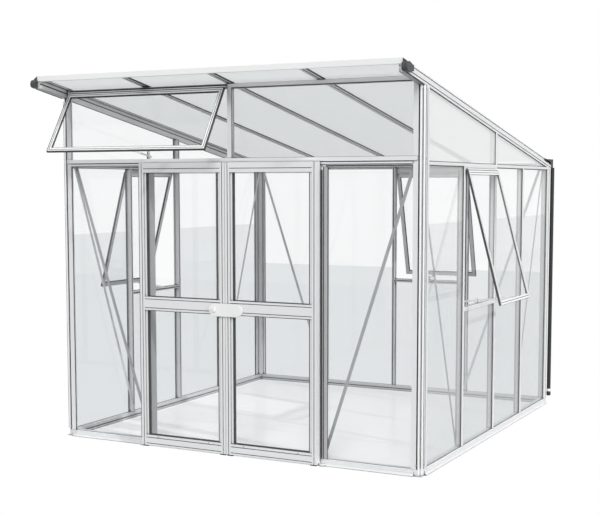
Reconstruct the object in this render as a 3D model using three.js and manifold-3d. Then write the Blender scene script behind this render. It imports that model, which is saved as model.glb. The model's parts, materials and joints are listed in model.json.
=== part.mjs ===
// A free-standing mono-pitch greenhouse: an aluminium frame, glass walls, an opal sheet roof, a pair of
// sliding doors hung outside the high front wall, and four top-hung windows that stand open on stays.
// Millimetres, +Z up. The front wall looks along -Y, and the origin is on the ground below the middle
// of the front wall's outer face.
import * as THREE from 'three';
import { mergeVertices } from 'three/addons/utils/BufferGeometryUtils.js';
import Module from 'manifold-3d';

const wasm = await Module();
wasm.setup();

// Driving dimensions of the house
const panePitch = 620;
const bayCount = 4;
const frontReach = 40;
const sideReach = 80;
const halfWidth = (bayCount / 2) * panePitch + frontReach;
const depth = bayCount * panePitch + 2 * sideReach;
const sillHeight = 42;
const railHeight = 1812;
const gableDepth = 74;
const frontRise = 518;
const gableOverlap = 7;
const roofFrontHeight = railHeight + frontRise;
const roofRearHeight = railHeight + gableDepth - gableOverlap;
const transomHeight = 910;
const headerDrop = 8;
const headerDepth = 48;
const headerBottom = railHeight - headerDrop;
const headerTop = headerBottom + headerDepth;
const roofOverhang = 266;
const roofTail = 10;

// Fits: the running clearance between neighbours, and how deep the glass is held
const fit = 0.3;
const glassLap = 6;
const slotSpare = 3;
const glassThickness = 4;

// The glazing bar, one extruded profile for uprights, rails and transoms
const capWidth = 26;
const capEdge = 2;
const capDepth = 7.4;
const neckWidth = 8;
const flangeWidth = 30;
const flangeDepth = 3;
const bodyWidth = 20;
const barDepth = 46;
const mouthWidth = 8;
const channelWidth = 13;
const channelDepth = 9;
const lipDepth = 2;
const railCapWidth = 18;

// The corner post
const postFrontSpare = 25;
const postSideSpare = 4;
const postFrontReach = frontReach + postFrontSpare;
const postSideReach = sideReach + postSideSpare;
const postDepth = 46;
const postWall = 4;
const noseChamfer = 22;
const noseWidth = 25;
const grooveWidth = 9;
const grooveDepth = 13;
const noseNotch = 5;
const footHeight = 6;

// The sill and its drip lip
const sillSlotDepth = 10;
const sillEdge = 3;
const sillMouthHeight = 16;
const lipReach = 14;
const lipThickness = 4;
const lipHeight = 30;
const lipStep = 5;
const lipRoot = 1;
const lipInset = 48;

// The gable bar and the roof bars
const gableLedge = 37;
const gableSetback = 20;
const gableGroove = 5;
const gableSlot = 8;
const roofBarWidth = 40;
const roofBarDepth = 21;
const roofBarNeck = 12;
const roofBarEdge = 6;
const roofBarCrown = 2;
const sheetSeat = 10;
const sheetThickness = 6;
const sheetWall = 0.8;
const fluteCount = 8;

// The front hood and its end caps
const hoodLead = 4;
const hoodFront = roofOverhang + hoodLead;
const hoodWall = 3;
const hoodFlange = 27;
const hoodSkin = 2;
const hoodRise = 48;
const hoodFace = 33;
const hoodTop = roofFrontHeight + hoodRise;
const hoodBottom = hoodTop - hoodFace;
const hoodInset = 20;
const hoodEnd = halfWidth - hoodInset;
const hoodCapWidth = 35;
const hoodCapOuter = hoodEnd + hoodCapWidth;
const hoodCapReach = 27;
const hoodCapDepth = 102;
const hoodCapFront = hoodFront + hoodCapReach;
const hoodCapBack = hoodCapFront - hoodCapDepth;
const hoodCapSink = 21;
const hoodCapHeight = 49;
const hoodCapTop = hoodTop - hoodCapSink;
const hoodCapBottom = hoodCapTop - hoodCapHeight;
const finThickness = 4;
const finSink = 1;
const finTip = hoodTop - finSink;

// The header with the door track, the jambs and the braces
const bandDepth = 8;
const bandHeight = 24;
const bandBottom = headerTop - bandHeight;
const bandInset = 37;
const bandEnd = halfWidth - bandInset;
const trackReach = 12;
const trackDrop = 16;
const trackShelf = bandBottom - trackDrop;
const trackSkin = 2.5;
const trackLipHeight = 9;
const trackLip = trackShelf + trackLipHeight;
const jambShift = 17;
const jambCentre = panePitch + jambShift;
const jambWidth = 50;
const jambSlot = 10;
const brushWidth = 6;
const brushDepth = 5;
const topRailCapWidth = 23;
const topRailDrop = 36.5;
const topRailHeight = roofFrontHeight - topRailDrop;
const braceWidth = 20;
const braceDepth = 3;
const braceSink = 2;

// The sliding doors
const leafGap = 1;
const leafSpare = 6;
const leafWidth = jambCentre - leafSpare;
const leafFront = 60;
const leafDepth = 40;
const leafBottom = 14;
const leafTopGap = 2;
const leafTop = bandBottom - leafTopGap;
const stileWidth = 50;
const topRailDeep = 61;
const midRailDrop = 18;
const midRailBottom = transomHeight - midRailDrop;
const midRailDeep = 85;
const bottomRailDeep = 68;
const fluteWidth = 4.5;
const fluteDepth = 6;
const beadWidth = 16;
const beadDepth = 8;
const stileFluteShares = [0.37];
const topRailFluteShares = [0.4];
const midRailFluteShares = [0.17, 0.83];
const bottomRailFluteShares = [0.2, 0.76];
const leafSlotFront = 14;
const leafSlotDepth = 10;
const hangerWidth = 70;
const hangerInset = 60;
const hangerThickness = 3.5;
const hangerRise = 4;
const hangerDrop = 6;
const guideSlotFront = 18;
const guideSlotWidth = 9;
const guideSlotHeight = 10;
const guideBlockWidth = 24;
const guideBlockSpare = 3;
const guideBlockInset = jambCentre + guideBlockSpare;
const guideTongue = 3;
const guideTongueRise = 6;
const guideBlockThickness = 7;
const guideBlockFloor = 2;

// The lock cover across the doors' joint
const lockLeft = -113;
const lockRight = 125;
const lockDrop = 15;
const lockHeight = 82;
const lockBottom = midRailBottom - lockDrop;
const lockTop = lockBottom + lockHeight;
const lockDepth = 10;
const lockBorder = 2;
const knobCentre = -76;
const knobRadius = 15;
const knobDepth = 8;
const knobShaft = 8;
const knobShaftDepth = 6;
const knobGrip = 4;

// The windows and their stays
const windowOpening = THREE.MathUtils.degToRad(15);
const ventOpening = THREE.MathUtils.degToRad(31.5);
const windowHingeDrop = 28;
const windowHinge = railHeight - windowHingeDrop;
const windowHingeOut = 10;
const windowBottomRise = 8;
const windowBottom = transomHeight + windowBottomRise;
const windowLap = 7;
const ventHingeDrop = 9.5;
const ventHinge = topRailHeight - ventHingeDrop;
const ventHingeOut = 16;
const ventBottomDrop = 20;
const ventBottom = headerTop - ventBottomDrop;
const ventPostGap = 10;
const ventLap = 4;
const beadRadius = 3.6;
const hookClearance = 0.6;
const hookWall = 2.4;
const hookFrom = THREE.MathUtils.degToRad(-55);
const hookTo = THREE.MathUtils.degToRad(200);
const hookSteps = 9;
const beadSteps = 10;
const beadNeck = 2.6;
const apronDrop = 9;
const frameThickness = 15;
const frameMember = 26;
const frameSkin = 3.6;
const frameGrooveIn = 11;
const frameGrooveWidth = 4;
const frameHang = 8;
const windowGlassLap = 8;
const stayThickness = 3;
const stayHeight = 12;
const stayPivotUp = 27;
const stayPivotHole = 3.5;
const stayPegHole = 2.5;
const stayPegCount = 4;
const stayPegStart = 170;
const stayPegStep = 40;
const stayEarThickness = 4;
const windowStayLength = 330;
const windowStayTilt = THREE.MathUtils.degToRad(7);
const ventStayLength = 290;
const ventStayTilt = THREE.MathUtils.degToRad(9.6);
const keeperThickness = 4;
const keeperGap = 7;
const keeperDepth = 16;
const keeperSetback = 15;
const keeperRise = 36;
const ventKeeperRise = 50;
const keeperBase = 4;

// The gutter and the downpipe
const eaveDrop = 43;
const eaveCentre = roofRearHeight - eaveDrop;
const gutterDrop = 18;
const gutterHeight = 32;
const gutterReach = 70;
const gutterFloor = eaveCentre - gutterDrop;
const gutterSkin = 2.5;
const gutterRim = gutterFloor + gutterHeight;
const gutterCurl = 7;
const gutterBead = 4;
const gutterInset = 21;
const gutterEnd = halfWidth - gutterInset;
const gutterCapThickness = 18;
const gutterCapRise = 3;
const gutterCapTop = roofRearHeight + gutterCapRise;
const gutterCapTongue = 120;
const pipeRadius = 15;
const pipeBore = 12;
const pipeInset = 1;
const pipeCentreX = halfWidth - pipeInset;
const pipeOut = 60;
const pipeBallBottom = 47;
const pipeBallHeight = 33;
const pipeRingHeight = 20;
const pipeShoulder = 8;
const pipeRingBottom = pipeBallBottom + pipeBallHeight;
const pipeRingTop = pipeRingBottom + pipeRingHeight;
const pipeEnd = pipeRingTop + pipeShoulder;
const pipeRingRadius = 14.2;
const pipeBallRadius = 17;
const pipeSides = 16;

// Worked out from the sizes above
const overrun = 1;
const weld = 0.005;
const roofFallShare = (roofFrontHeight - roofRearHeight) / depth;
const seatDepth = capDepth + glassThickness + 2 * fit;
const glassFront = capDepth + fit;
const gableBase = roofFrontHeight - gableDepth;
const roofBarBase = roofFrontHeight - roofBarDepth;
const sideBars = [1, 2, 3].map((i) => sideReach + i * panePitch);
const frontBars = [-1, 0, 1].map((i) => i * panePitch);
const paneInset = neckWidth / 2 + slotSpare;

// Finishes
const finish = (color, roughness, metalness, extra = {}) => ({ color, roughness, metalness, ...extra });
const finishes = {
  aluminium: finish(0xd9dbdd, 0.38, 0.75),
  glass: finish(0xdfe6e8, 0.05, 0, { transparent: true, opacity: 0.25 }),
  opal: finish(0xeceeee, 0.45, 0),
  darkPlastic: finish(0x4a4a4a, 0.55, 0),
  blackPlastic: finish(0x1a1a1a, 0.4, 0),
  whitePlastic: finish(0xf4f4f4, 0.35, 0),
};

const house = new THREE.Group();

const X = new THREE.Vector3(1, 0, 0);
const Y = new THREE.Vector3(0, 1, 0);
const Z = new THREE.Vector3(0, 0, 1);
const back = (v) => v.clone().negate();

// Moves a shape's own axes onto three given ones, turning its faces round where that mirrors it
function place(geometry, origin, a, b, c) {
  const matrix = new THREE.Matrix4().makeBasis(a, b, c).setPosition(origin);
  geometry.applyMatrix4(matrix);
  if (matrix.determinant() < 0) {
    const index = geometry.index.array;
    for (let i = 0; i < index.length; i += 3) {
      [index[i + 1], index[i + 2]] = [index[i + 2], index[i + 1]];
    }
  }
  return geometry;
}

// Keeps only the points and the triangles of a shape, with the shared points merged
function bare(geometry) {
  const plain = new THREE.BufferGeometry();
  plain.setAttribute('position', geometry.getAttribute('position').clone());
  if (geometry.index) {
    plain.setIndex(geometry.index.clone());
  }
  return mergeVertices(plain, 1e-5);
}

function extrude(outline, length, holes = []) {
  const shape = new THREE.Shape(outline.map(([a, b]) => new THREE.Vector2(a, b)));
  for (const hole of holes) {
    shape.holes.push(new THREE.Path(hole.map(([a, b]) => new THREE.Vector2(a, b))));
  }
  return bare(new THREE.ExtrudeGeometry(shape, { depth: length, bevelEnabled: false, curveSegments: 8 }));
}

const rectangle = (a0, b0, a1, b1) => [[a0, b0], [a1, b0], [a1, b1], [a0, b1]];

// A ten-sided circle as outline points about a centre
const circle = (radius, a = 0, b = 0) => Array.from({ length: beadSteps }, (_, i) => {
  const angle = (2 * Math.PI * i) / beadSteps;
  return [a + radius * Math.cos(angle), b + radius * Math.sin(angle)];
});

function solid(geometry) {
  return new wasm.Manifold(new wasm.Mesh({
    numProp: 3,
    vertProperties: new Float32Array(geometry.getAttribute('position').array),
    triVerts: new Uint32Array(geometry.index.array),
  }));
}

function shell(manifold) {
  const mesh = manifold.simplify(weld).getMesh();
  const geometry = new THREE.BufferGeometry();
  geometry.setAttribute('position', new THREE.BufferAttribute(new Float32Array(mesh.vertProperties), 3));
  geometry.setIndex(new THREE.BufferAttribute(new Uint32Array(mesh.triVerts), 1));
  return geometry;
}

const join = (...pieces) => shell(pieces.map(solid).reduce((a, b) => a.add(b)));
const cut = (piece, ...tools) => shell(tools.map(solid).reduce((a, b) => a.subtract(b), solid(piece)));

function add(name, geometry, finishName) {
  geometry.computeVertexNormals();
  const mesh = new THREE.Mesh(geometry, new THREE.MeshStandardMaterial(finishes[finishName]));
  mesh.name = name;
  house.add(mesh);
}

// Each wall has its own axes: u runs along it, w runs inwards from its outer face, and z is up
const walls = {
  front: { u: X, w: Y, origin: new THREE.Vector3(0, 0, 0) },
  rear: { u: X, w: back(Y), origin: new THREE.Vector3(0, depth, 0) },
  left: { u: Y, w: X, origin: new THREE.Vector3(-halfWidth, 0, 0) },
  right: { u: Y, w: back(X), origin: new THREE.Vector3(halfWidth, 0, 0) },
};

function at(wall, u, w, z) {
  return wall.origin.clone().addScaledVector(wall.u, u).addScaledVector(wall.w, w).addScaledVector(Z, z);
}

// An outline in (u, w), drawn up from z0 to z1
function upright(wall, outline, u, z0, z1, holes = []) {
  return place(extrude(outline, z1 - z0, holes), at(wall, u, 0, z0), wall.u, wall.w, Z);
}

// An outline in (w, z), drawn along the wall from u0 to u1
function rail(wall, outline, u0, u1, z = 0) {
  return place(extrude(outline, u1 - u0), at(wall, u0, 0, z), wall.w, Z, wall.u);
}

// An outline in (u, z), drawn inwards from w0 to w1
function plate(wall, outline, w0, w1, holes = []) {
  return place(extrude(outline, w1 - w0, holes), at(wall, 0, w0, 0), wall.u, Z, wall.w);
}

function block(wall, u0, u1, w0, w1, z0, z1) {
  return upright(wall, rectangle(u0, w0, u1, w1), 0, z0, z1);
}

// Tilts what was drawn level so that it follows the roof's fall towards the rear
function tilt(geometry) {
  geometry.applyMatrix4(new THREE.Matrix4().set(1, 0, 0, 0, 0, 1, 0, 0, 0, -roofFallShare, 1, 0, 0, 0, 0, 1));
  return geometry;
}

// A level outline in (x, z), drawn from the front edge of the roof to its tail and tilted
function alongRoof(outline, y0, y1) {
  return tilt(place(extrude(outline, y1 - y0), new THREE.Vector3(0, y1, 0), X, Z, back(Y)));
}

// The glazing bar: a cap outside, a neck between the panes, a flange behind them, and a box body with
// a bolt channel that opens into the house. The outline is in (across, inwards).
function barOutline(cap = capWidth) {
  const half = [
    [cap / 2 - capEdge, 0],
    [cap / 2, capEdge],
    [cap / 2, capDepth],
    [neckWidth / 2, capDepth],
    [neckWidth / 2, seatDepth],
    [flangeWidth / 2, seatDepth],
    [flangeWidth / 2, seatDepth + flangeDepth],
    [bodyWidth / 2, seatDepth + flangeDepth],
    [bodyWidth / 2, barDepth],
    [mouthWidth / 2, barDepth],
    [mouthWidth / 2, barDepth - lipDepth],
    [channelWidth / 2, barDepth - lipDepth],
    [channelWidth / 2, barDepth - channelDepth],
  ];
  return [...half, ...half.slice().reverse().map(([a, b]) => [-a, b])];
}

const turned = (outline) => outline.map(([across, inwards]) => [inwards, across]);

// A hook-shaped hinge channel round a bead, in (w, z) about the hinge line
function hookOutline() {
  const arc = (radius, from, to) => Array.from({ length: hookSteps + 1 }, (_, i) => {
    const angle = from + ((to - from) * i) / hookSteps;
    return [radius * Math.cos(angle), radius * Math.sin(angle)];
  });
  const inner = beadRadius + hookClearance;
  return [...arc(inner + hookWall, hookFrom, hookTo), ...arc(inner, hookTo, hookFrom)];
}

// The fixed half of a top-hung hinge: the hook and the web that carries it off the wall
function hingeRail(wall, u0, u1, hingeZ, hingeOut, top) {
  const inner = beadRadius + hookClearance;
  const hook = hookOutline().map(([w, z]) => [w - hingeOut, z + hingeZ]);
  const webOuter = -hingeOut + inner + hookWall / 2;
  const web = rectangle(webOuter, hingeZ - flangeDepth / 2, seatDepth, hingeZ + flangeDepth);
  const apron = rectangle(0, hingeZ - apronDrop, capDepth, top);
  return [rail(wall, hook, u0, u1), rail(wall, web, u0, u1), rail(wall, apron, u0, u1)];
}

// Turns what was made closed about the hinge line, so that its foot swings outwards
function swing(geometry, wall, hingeZ, hingeOut, angle) {
  const pivot = at(wall, 0, -hingeOut, hingeZ);
  const axis = new THREE.Vector3().crossVectors(wall.w, Z);
  const turn = new THREE.Matrix4().makeRotationAxis(axis, -angle);
  geometry.applyMatrix4(new THREE.Matrix4().makeTranslation(-pivot.x, -pivot.y, -pivot.z));
  geometry.applyMatrix4(turn);
  geometry.applyMatrix4(new THREE.Matrix4().makeTranslation(pivot.x, pivot.y, pivot.z));
  return geometry;
}

// The forked keeper that a stay slides through
function keeper(wall, u, z, rise) {
  const w0 = keeperSetback;
  const w1 = keeperSetback + keeperDepth;
  const inner = keeperGap / 2;
  const outer = inner + keeperThickness;
  return [
    block(wall, u - outer, u + outer, w0, w1, z - overrun, z + keeperBase),
    block(wall, u - outer, u - inner, w0, w1, z, z + rise),
    block(wall, u + inner, u + outer, w0, w1, z, z + rise),
  ];
}

// A flat bracing bar between two points of a wall, given by u and z
function brace(wall, from, to) {
  const along = new THREE.Vector2(to[0] - from[0], to[1] - from[1]).normalize().multiplyScalar(braceWidth / 2);
  const side = [-along.y, along.x];
  const outline = [
    [from[0] + side[0], from[1] + side[1]],
    [from[0] - side[0], from[1] - side[1]],
    [to[0] - side[0], to[1] - side[1]],
    [to[0] + side[0], to[1] + side[1]],
  ];
  return plate(wall, outline, barDepth - braceSink, barDepth - braceSink + braceDepth);
}

// Base frame
function sillBody() {
  const mouth0 = sillMouthHeight - (channelWidth - mouthWidth) / 2;
  const mouth1 = sillMouthHeight + mouthWidth;
  return [
    [0, 0],
    [barDepth, 0],
    [barDepth, sillMouthHeight],
    [barDepth - lipDepth, sillMouthHeight],
    [barDepth - lipDepth, mouth0],
    [barDepth - channelDepth, mouth0],
    [barDepth - channelDepth, mouth0 + channelWidth],
    [barDepth - lipDepth, mouth0 + channelWidth],
    [barDepth - lipDepth, mouth1],
    [barDepth, mouth1],
    [barDepth, sillHeight],
    [seatDepth, sillHeight],
    [seatDepth, sillHeight - sillSlotDepth],
    [capDepth, sillHeight - sillSlotDepth],
    [capDepth, sillHeight],
    [sillEdge, sillHeight],
    [0, sillHeight - sillEdge],
  ];
}

function dripLip() {
  return [
    [lipRoot, 0],
    [-lipReach, 0],
    [-lipReach, lipThickness],
    [-lipStep, sillMouthHeight - sillEdge],
    [-lipStep, lipHeight - sillEdge],
    [lipRoot, lipHeight],
  ];
}

function baseFrame() {
  const pieces = [];
  for (const wall of Object.values(walls)) {
    const along = wall.u === X;
    const u0 = along ? -halfWidth : 0;
    const u1 = along ? halfWidth : depth;
    pieces.push(rail(wall, sillBody(), u0, u1));
    pieces.push(rail(wall, dripLip(), u0 + lipInset, u1 - lipInset));
  }
  for (const side of [-1, 1]) {
    const u0 = side * (guideBlockInset + guideBlockWidth / 2) - guideBlockWidth / 2;
    const u1 = u0 + guideBlockWidth;
    const tongue = guideSlotFront + (guideSlotWidth - guideTongue) / 2 - leafFront;
    pieces.push(block(walls.front, u0, u1, tongue, 0, guideBlockFloor, guideBlockFloor + guideBlockThickness));
    pieces.push(block(walls.front, u0, u1, tongue, tongue + guideTongue, guideBlockFloor,
      leafBottom + guideTongueRise));
  }
  const feet = corners().map((corner) => placeCorner(corner,
    extrude(rectangle(-overrun, -overrun, noseWidth + fit, noseWidth + fit), sillHeight),
    footHeight - fit));
  return cut(join(...pieces), ...feet);
}

// Corner posts: a runs from the corner along the front or rear wall, b along the side wall
function corners() {
  return [
    { name: 'post_front_left', side: -1, end: 0 },
    { name: 'post_front_right', side: 1, end: 0 },
    { name: 'post_rear_left', side: -1, end: 1 },
    { name: 'post_rear_right', side: 1, end: 1 },
  ];
}

function placeCorner(corner, geometry, z) {
  const a = X.clone().multiplyScalar(-corner.side);
  const b = Y.clone().multiplyScalar(corner.end ? -1 : 1);
  return place(geometry, new THREE.Vector3(corner.side * halfWidth, corner.end * depth, z), a, b, Z);
}

function noseOutline() {
  const middle = noseChamfer / 2;
  const notch = noseNotch / 2;
  return [
    [0, noseChamfer],
    [middle - notch, middle + notch],
    [middle + notch, middle + notch],
    [middle + notch, middle - notch],
    [noseChamfer, 0],
  ];
}

function postOutline() {
  const groove = noseWidth + grooveWidth;
  const back1 = seatDepth + flangeDepth;
  const front = postFrontReach - glassLap - slotSpare;
  const side = postSideReach - glassLap - slotSpare;
  return [
    ...noseOutline(),
    [noseWidth, 0],
    [noseWidth, grooveDepth],
    [groove, grooveDepth],
    [groove, 0],
    [postFrontReach, 0],
    [postFrontReach, capDepth],
    [front, capDepth],
    [front, seatDepth],
    [postFrontReach, seatDepth],
    [postFrontReach, back1],
    [postDepth, back1],
    [postDepth, postDepth],
    [back1, postDepth],
    [back1, postSideReach],
    [seatDepth, postSideReach],
    [seatDepth, side],
    [capDepth, side],
    [capDepth, postSideReach],
    [0, postSideReach],
    [0, groove],
    [grooveDepth, groove],
    [grooveDepth, noseWidth],
    [0, noseWidth],
  ];
}

// What the gable bar fills over a post, with its fit, so that the post's head is cut to the roof's fall
function gableCutter(side) {
  const inner = halfWidth - barDepth - fit;
  const outer = halfWidth + overrun;
  const low = Math.min(side * inner, side * outer);
  const high = Math.max(side * inner, side * outer);
  return alongRoof(rectangle(low, gableBase - fit, high, roofFrontHeight + gableDepth),
    -roofOverhang, depth + roofTail + fit);
}

function cornerPost(corner) {
  const chamber = rectangle(grooveDepth + 2 * postWall, grooveDepth + 2 * postWall,
    postDepth - postWall, postDepth - postWall);
  const head = corner.end ? roofRearHeight - roofBarDepth - fit : topRailHeight + topRailCapWidth / 2;
  const shaft = placeCorner(corner, extrude(postOutline(), head - sillHeight, [chamber]), sillHeight + fit);
  const foot = placeCorner(corner,
    extrude([...noseOutline(), [noseWidth, 0], [noseWidth, noseWidth], [0, noseWidth]],
      sillHeight - footHeight + overrun), footHeight);
  return cut(join(shaft, foot), gableCutter(corner.side));
}

// Gable bar: the top glazing bar of a side wall and the roof's edge bar, in one profile
function gableOutline(side) {
  const x = (inwards) => side * (halfWidth - inwards);
  const z = (up) => gableBase + up;
  const roofSeat = gableDepth - roofBarDepth + sheetSeat;
  const roofSlotTop = roofSeat + sheetThickness + 2 * fit;
  const roofInner = gableSetback + roofBarWidth;
  const channel = (gableDepth - roofBarDepth) / 2;
  const groove1 = gableSlot + gableGroove;
  const groove2 = roofSeat - gableGroove;
  return [
    [0, 0],
    [0, groove1],
    [gableGroove, groove1],
    [gableGroove, groove1 + gableGroove],
    [0, groove1 + gableGroove],
    [0, gableLedge - gableGroove],
    [gableGroove, gableLedge],
    [gableSetback, gableLedge],
    [gableSetback, groove2],
    [gableSetback + gableGroove, groove2],
    [gableSetback + gableGroove, groove2 + gableGroove],
    [gableSetback, groove2 + gableGroove],
    [gableSetback, gableDepth - roofBarEdge / 2],
    [gableSetback + roofBarEdge, gableDepth],
    [roofInner - roofBarEdge, gableDepth],
    [roofInner, gableDepth - roofBarCrown],
    [roofInner, roofSlotTop],
    [roofInner - (roofBarWidth - roofBarNeck) / 2, roofSlotTop],
    [roofInner - (roofBarWidth - roofBarNeck) / 2, roofSeat],
    [roofInner, roofSeat],
    [roofInner, gableDepth - roofBarDepth],
    [barDepth, gableDepth - roofBarDepth],
    [barDepth, channel + mouthWidth / 2],
    [barDepth - lipDepth, channel + mouthWidth / 2],
    [barDepth - lipDepth, channel + channelWidth / 2],
    [barDepth - channelDepth, channel + channelWidth / 2],
    [barDepth - channelDepth, channel - channelWidth / 2],
    [barDepth - lipDepth, channel - channelWidth / 2],
    [barDepth - lipDepth, channel - mouthWidth / 2],
    [barDepth, channel - mouthWidth / 2],
    [barDepth, 0],
    [seatDepth, 0],
    [seatDepth, gableSlot],
    [capDepth, gableSlot],
    [capDepth, 0],
  ].map(([inwards, up]) => [x(inwards), z(up)]);
}

const roofDropAt = (y) => roofFallShare * y;

function sideWall(wall, side) {
  const u0 = postSideReach + fit;
  const u1 = depth - postSideReach - fit;
  const bar = barOutline();
  const [first, second, third] = sideBars;
  const middle = (first + second) / 2;
  const brace0 = postDepth + braceWidth;
  const braceTop = railHeight - braceWidth / 2;
  const braceFoot = sillHeight + braceWidth;
  return join(
    alongRoof(gableOutline(side), -roofOverhang, depth + roofTail),
    rail(wall, turned(barOutline(railCapWidth)), u0, u1, railHeight),
    ...sideBars.map((u) => upright(wall, bar, u, sillHeight + fit, railHeight)),
    upright(wall, bar, second, railHeight, gableBase - roofDropAt(second) + gableSlot + overrun),
    rail(wall, turned(bar), first, second, transomHeight),
    ...hingeRail(wall, first + capWidth / 2 - overrun, second - capWidth / 2 + overrun,
      windowHinge, windowHingeOut, railHeight),
    ...keeper(wall, middle, transomHeight + bodyWidth / 2, keeperRise),
    brace(wall, [brace0, braceTop], [first, braceFoot]),
    brace(wall, [depth - brace0, braceTop], [third, braceFoot]),
  );
}

// Rear wall, with the eave rail that carries the roof bars and the gutter outside it
function gutterOutline() {
  return [
    [-fit, gutterFloor],
    [-gutterReach + gutterBead, gutterFloor],
    [-gutterReach, gutterFloor + gutterBead],
    [-gutterReach, gutterRim],
    [-gutterReach + gutterCurl, gutterRim],
    [-gutterReach + gutterCurl, gutterRim - gutterSkin],
    [-gutterReach + gutterSkin, gutterRim - gutterSkin],
    [-gutterReach + gutterSkin, gutterFloor + gutterBead + overrun],
    [-gutterReach + gutterBead + overrun, gutterFloor + gutterSkin],
    [-fit, gutterFloor + gutterSkin],
  ];
}

function rearWall() {
  const wall = walls.rear;
  const end = halfWidth - postFrontReach - fit;
  const bar = barOutline();
  const [first, second, third] = frontBars;
  const middle = (second + third) / 2;
  const brace0 = halfWidth - postDepth - braceWidth;
  const braceTop = eaveCentre - braceWidth / 2;
  const braceFoot = sillHeight + braceWidth;
  const eave = tilt(rail(wall, turned(barOutline()), -end, end, eaveCentre + roofDropAt(depth)));
  return join(
    eave,
    cut(rail(wall, gutterOutline(), -gutterEnd, gutterEnd), gableCutter(-1), gableCutter(1)),
    rail(wall, rectangle(-gutterBead, gutterFloor, capDepth, gutterFloor + gutterSkin), -end, end),
    ...frontBars.map((u) => upright(wall, bar, u, sillHeight + fit, eaveCentre)),
    rail(wall, turned(bar), second, third, transomHeight),
    ...hingeRail(wall, second + capWidth / 2 - overrun, third - capWidth / 2 + overrun,
      windowHinge, windowHingeOut, eaveCentre),
    ...keeper(wall, middle, transomHeight + bodyWidth / 2, keeperRise),
    brace(wall, [-brace0, braceTop], [first, braceFoot]),
    brace(wall, [brace0, braceTop], [third, braceFoot]),
  );
}

// Front wall: the header with the door track, the jambs, the clerestory mullion and the top rail
function headerOutline() {
  return [
    [barDepth, headerBottom],
    [barDepth, headerTop],
    [seatDepth, headerTop],
    [seatDepth, headerTop - gableSlot],
    [capDepth, headerTop - gableSlot],
    [capDepth, headerTop],
    [-bandDepth, headerTop],
    [-bandDepth, bandBottom],
    [0, bandBottom],
    [0, trackShelf + trackSkin],
    [-trackReach + trackSkin, trackShelf + trackSkin],
    [-trackReach + trackSkin, trackLip],
    [-trackReach, trackLip],
    [-trackReach, trackShelf],
    [0, trackShelf],
    [0, headerBottom],
    [capDepth, headerBottom],
    [capDepth, headerBottom + gableSlot],
    [seatDepth, headerBottom + gableSlot],
    [seatDepth, headerBottom],
  ];
}

// A door jamb, in (u, w) for the right-hand side, with the fixed pane's slot and a brush groove
function jambOutline(side) {
  const inner = jambCentre - jambWidth / 2;
  const outer = jambCentre + jambWidth / 2;
  const brush = jambCentre - brushWidth / 2;
  return [
    [inner, 0],
    [inner, barDepth],
    [outer - jambSlot, barDepth],
    [outer - jambSlot, seatDepth + flangeDepth],
    [outer, seatDepth + flangeDepth],
    [outer, seatDepth],
    [outer - jambSlot, seatDepth],
    [outer - jambSlot, capDepth],
    [outer, capDepth],
    [outer, 0],
    [brush + brushWidth, 0],
    [brush + brushWidth, brushDepth],
    [brush, brushDepth],
    [brush, 0],
  ].map(([u, w]) => [side * u, w]);
}

function frontFrame() {
  const wall = walls.front;
  const end = halfWidth - postFrontReach - fit;
  const topRail = tilt(rail(wall, turned(barOutline(topRailCapWidth)), -end, end, topRailHeight));
  const brace0 = halfWidth - postDepth - braceWidth;
  const braceTop = headerTop - braceWidth;
  const braceFoot = sillHeight + braceWidth;
  const vent = { from: -end + fit, to: -capWidth / 2 + overrun };
  const middle = (vent.from + vent.to) / 2;
  const bandBack = rectangle(-bandDepth, bandBottom, -fit, headerTop);
  return join(
    rail(wall, headerOutline(), -end, end),
    rail(wall, bandBack, -bandEnd, bandEnd),
    ...[-1, 1].map((side) => upright(wall, jambOutline(side), 0, sillHeight + fit, headerTop - gableSlot)),
    upright(wall, barOutline(flangeWidth), 0, headerTop - gableSlot, topRailHeight),
    topRail,
    ...hingeRail(wall, vent.from, vent.to, ventHinge, ventHingeOut, topRailHeight),
    ...keeper(wall, middle, headerTop, ventKeeperRise),
    brace(wall, [-brace0, braceTop], [-jambCentre, braceFoot]),
    brace(wall, [brace0, braceTop], [jambCentre, braceFoot]),
  );
}

// Roof bars and sheets
function roofBarOutline(centre) {
  const half = [
    [mouthWidth / 2, 0],
    [mouthWidth / 2, lipDepth],
    [channelWidth / 2, lipDepth],
    [channelWidth / 2, sheetSeat - lipDepth],
  ];
  const outer = [
    [roofBarWidth / 2, 0],
    [roofBarWidth / 2, sheetSeat],
    [roofBarNeck / 2, sheetSeat],
    [roofBarNeck / 2, sheetSeat + sheetThickness + 2 * fit],
    [roofBarWidth / 2, sheetSeat + sheetThickness + 2 * fit],
    [roofBarWidth / 2, roofBarDepth - roofBarCrown],
    [roofBarWidth / 2 - roofBarEdge, roofBarDepth],
  ];
  const right = [...half.slice().reverse(), ...outer];
  return [...right, ...right.slice().reverse().map(([a, b]) => [-a, b])]
    .map(([a, b]) => [centre + a, roofBarBase + b]);
}

function roofSheet(bay) {
  const x0 = -(bayCount / 2) * panePitch + bay * panePitch + roofBarNeck / 2 + slotSpare;
  const x1 = x0 + panePitch - roofBarNeck - 2 * slotSpare;
  const z0 = roofBarBase + sheetSeat + fit;
  const z1 = z0 + sheetThickness;
  const pitch = (x1 - x0 - sheetWall) / fluteCount;
  const y0 = -roofOverhang + slotSpare;
  const y1 = depth + roofTail - slotSpare;
  const flutes = Array.from({ length: fluteCount }, (_, i) => alongRoof(
    rectangle(x0 + sheetWall + i * pitch, z0 + sheetWall, x0 + (i + 1) * pitch, z1 - sheetWall),
    y0 - overrun, y1 + overrun));
  return cut(alongRoof(rectangle(x0, z0, x1, z1), y0, y1), ...flutes);
}

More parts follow.
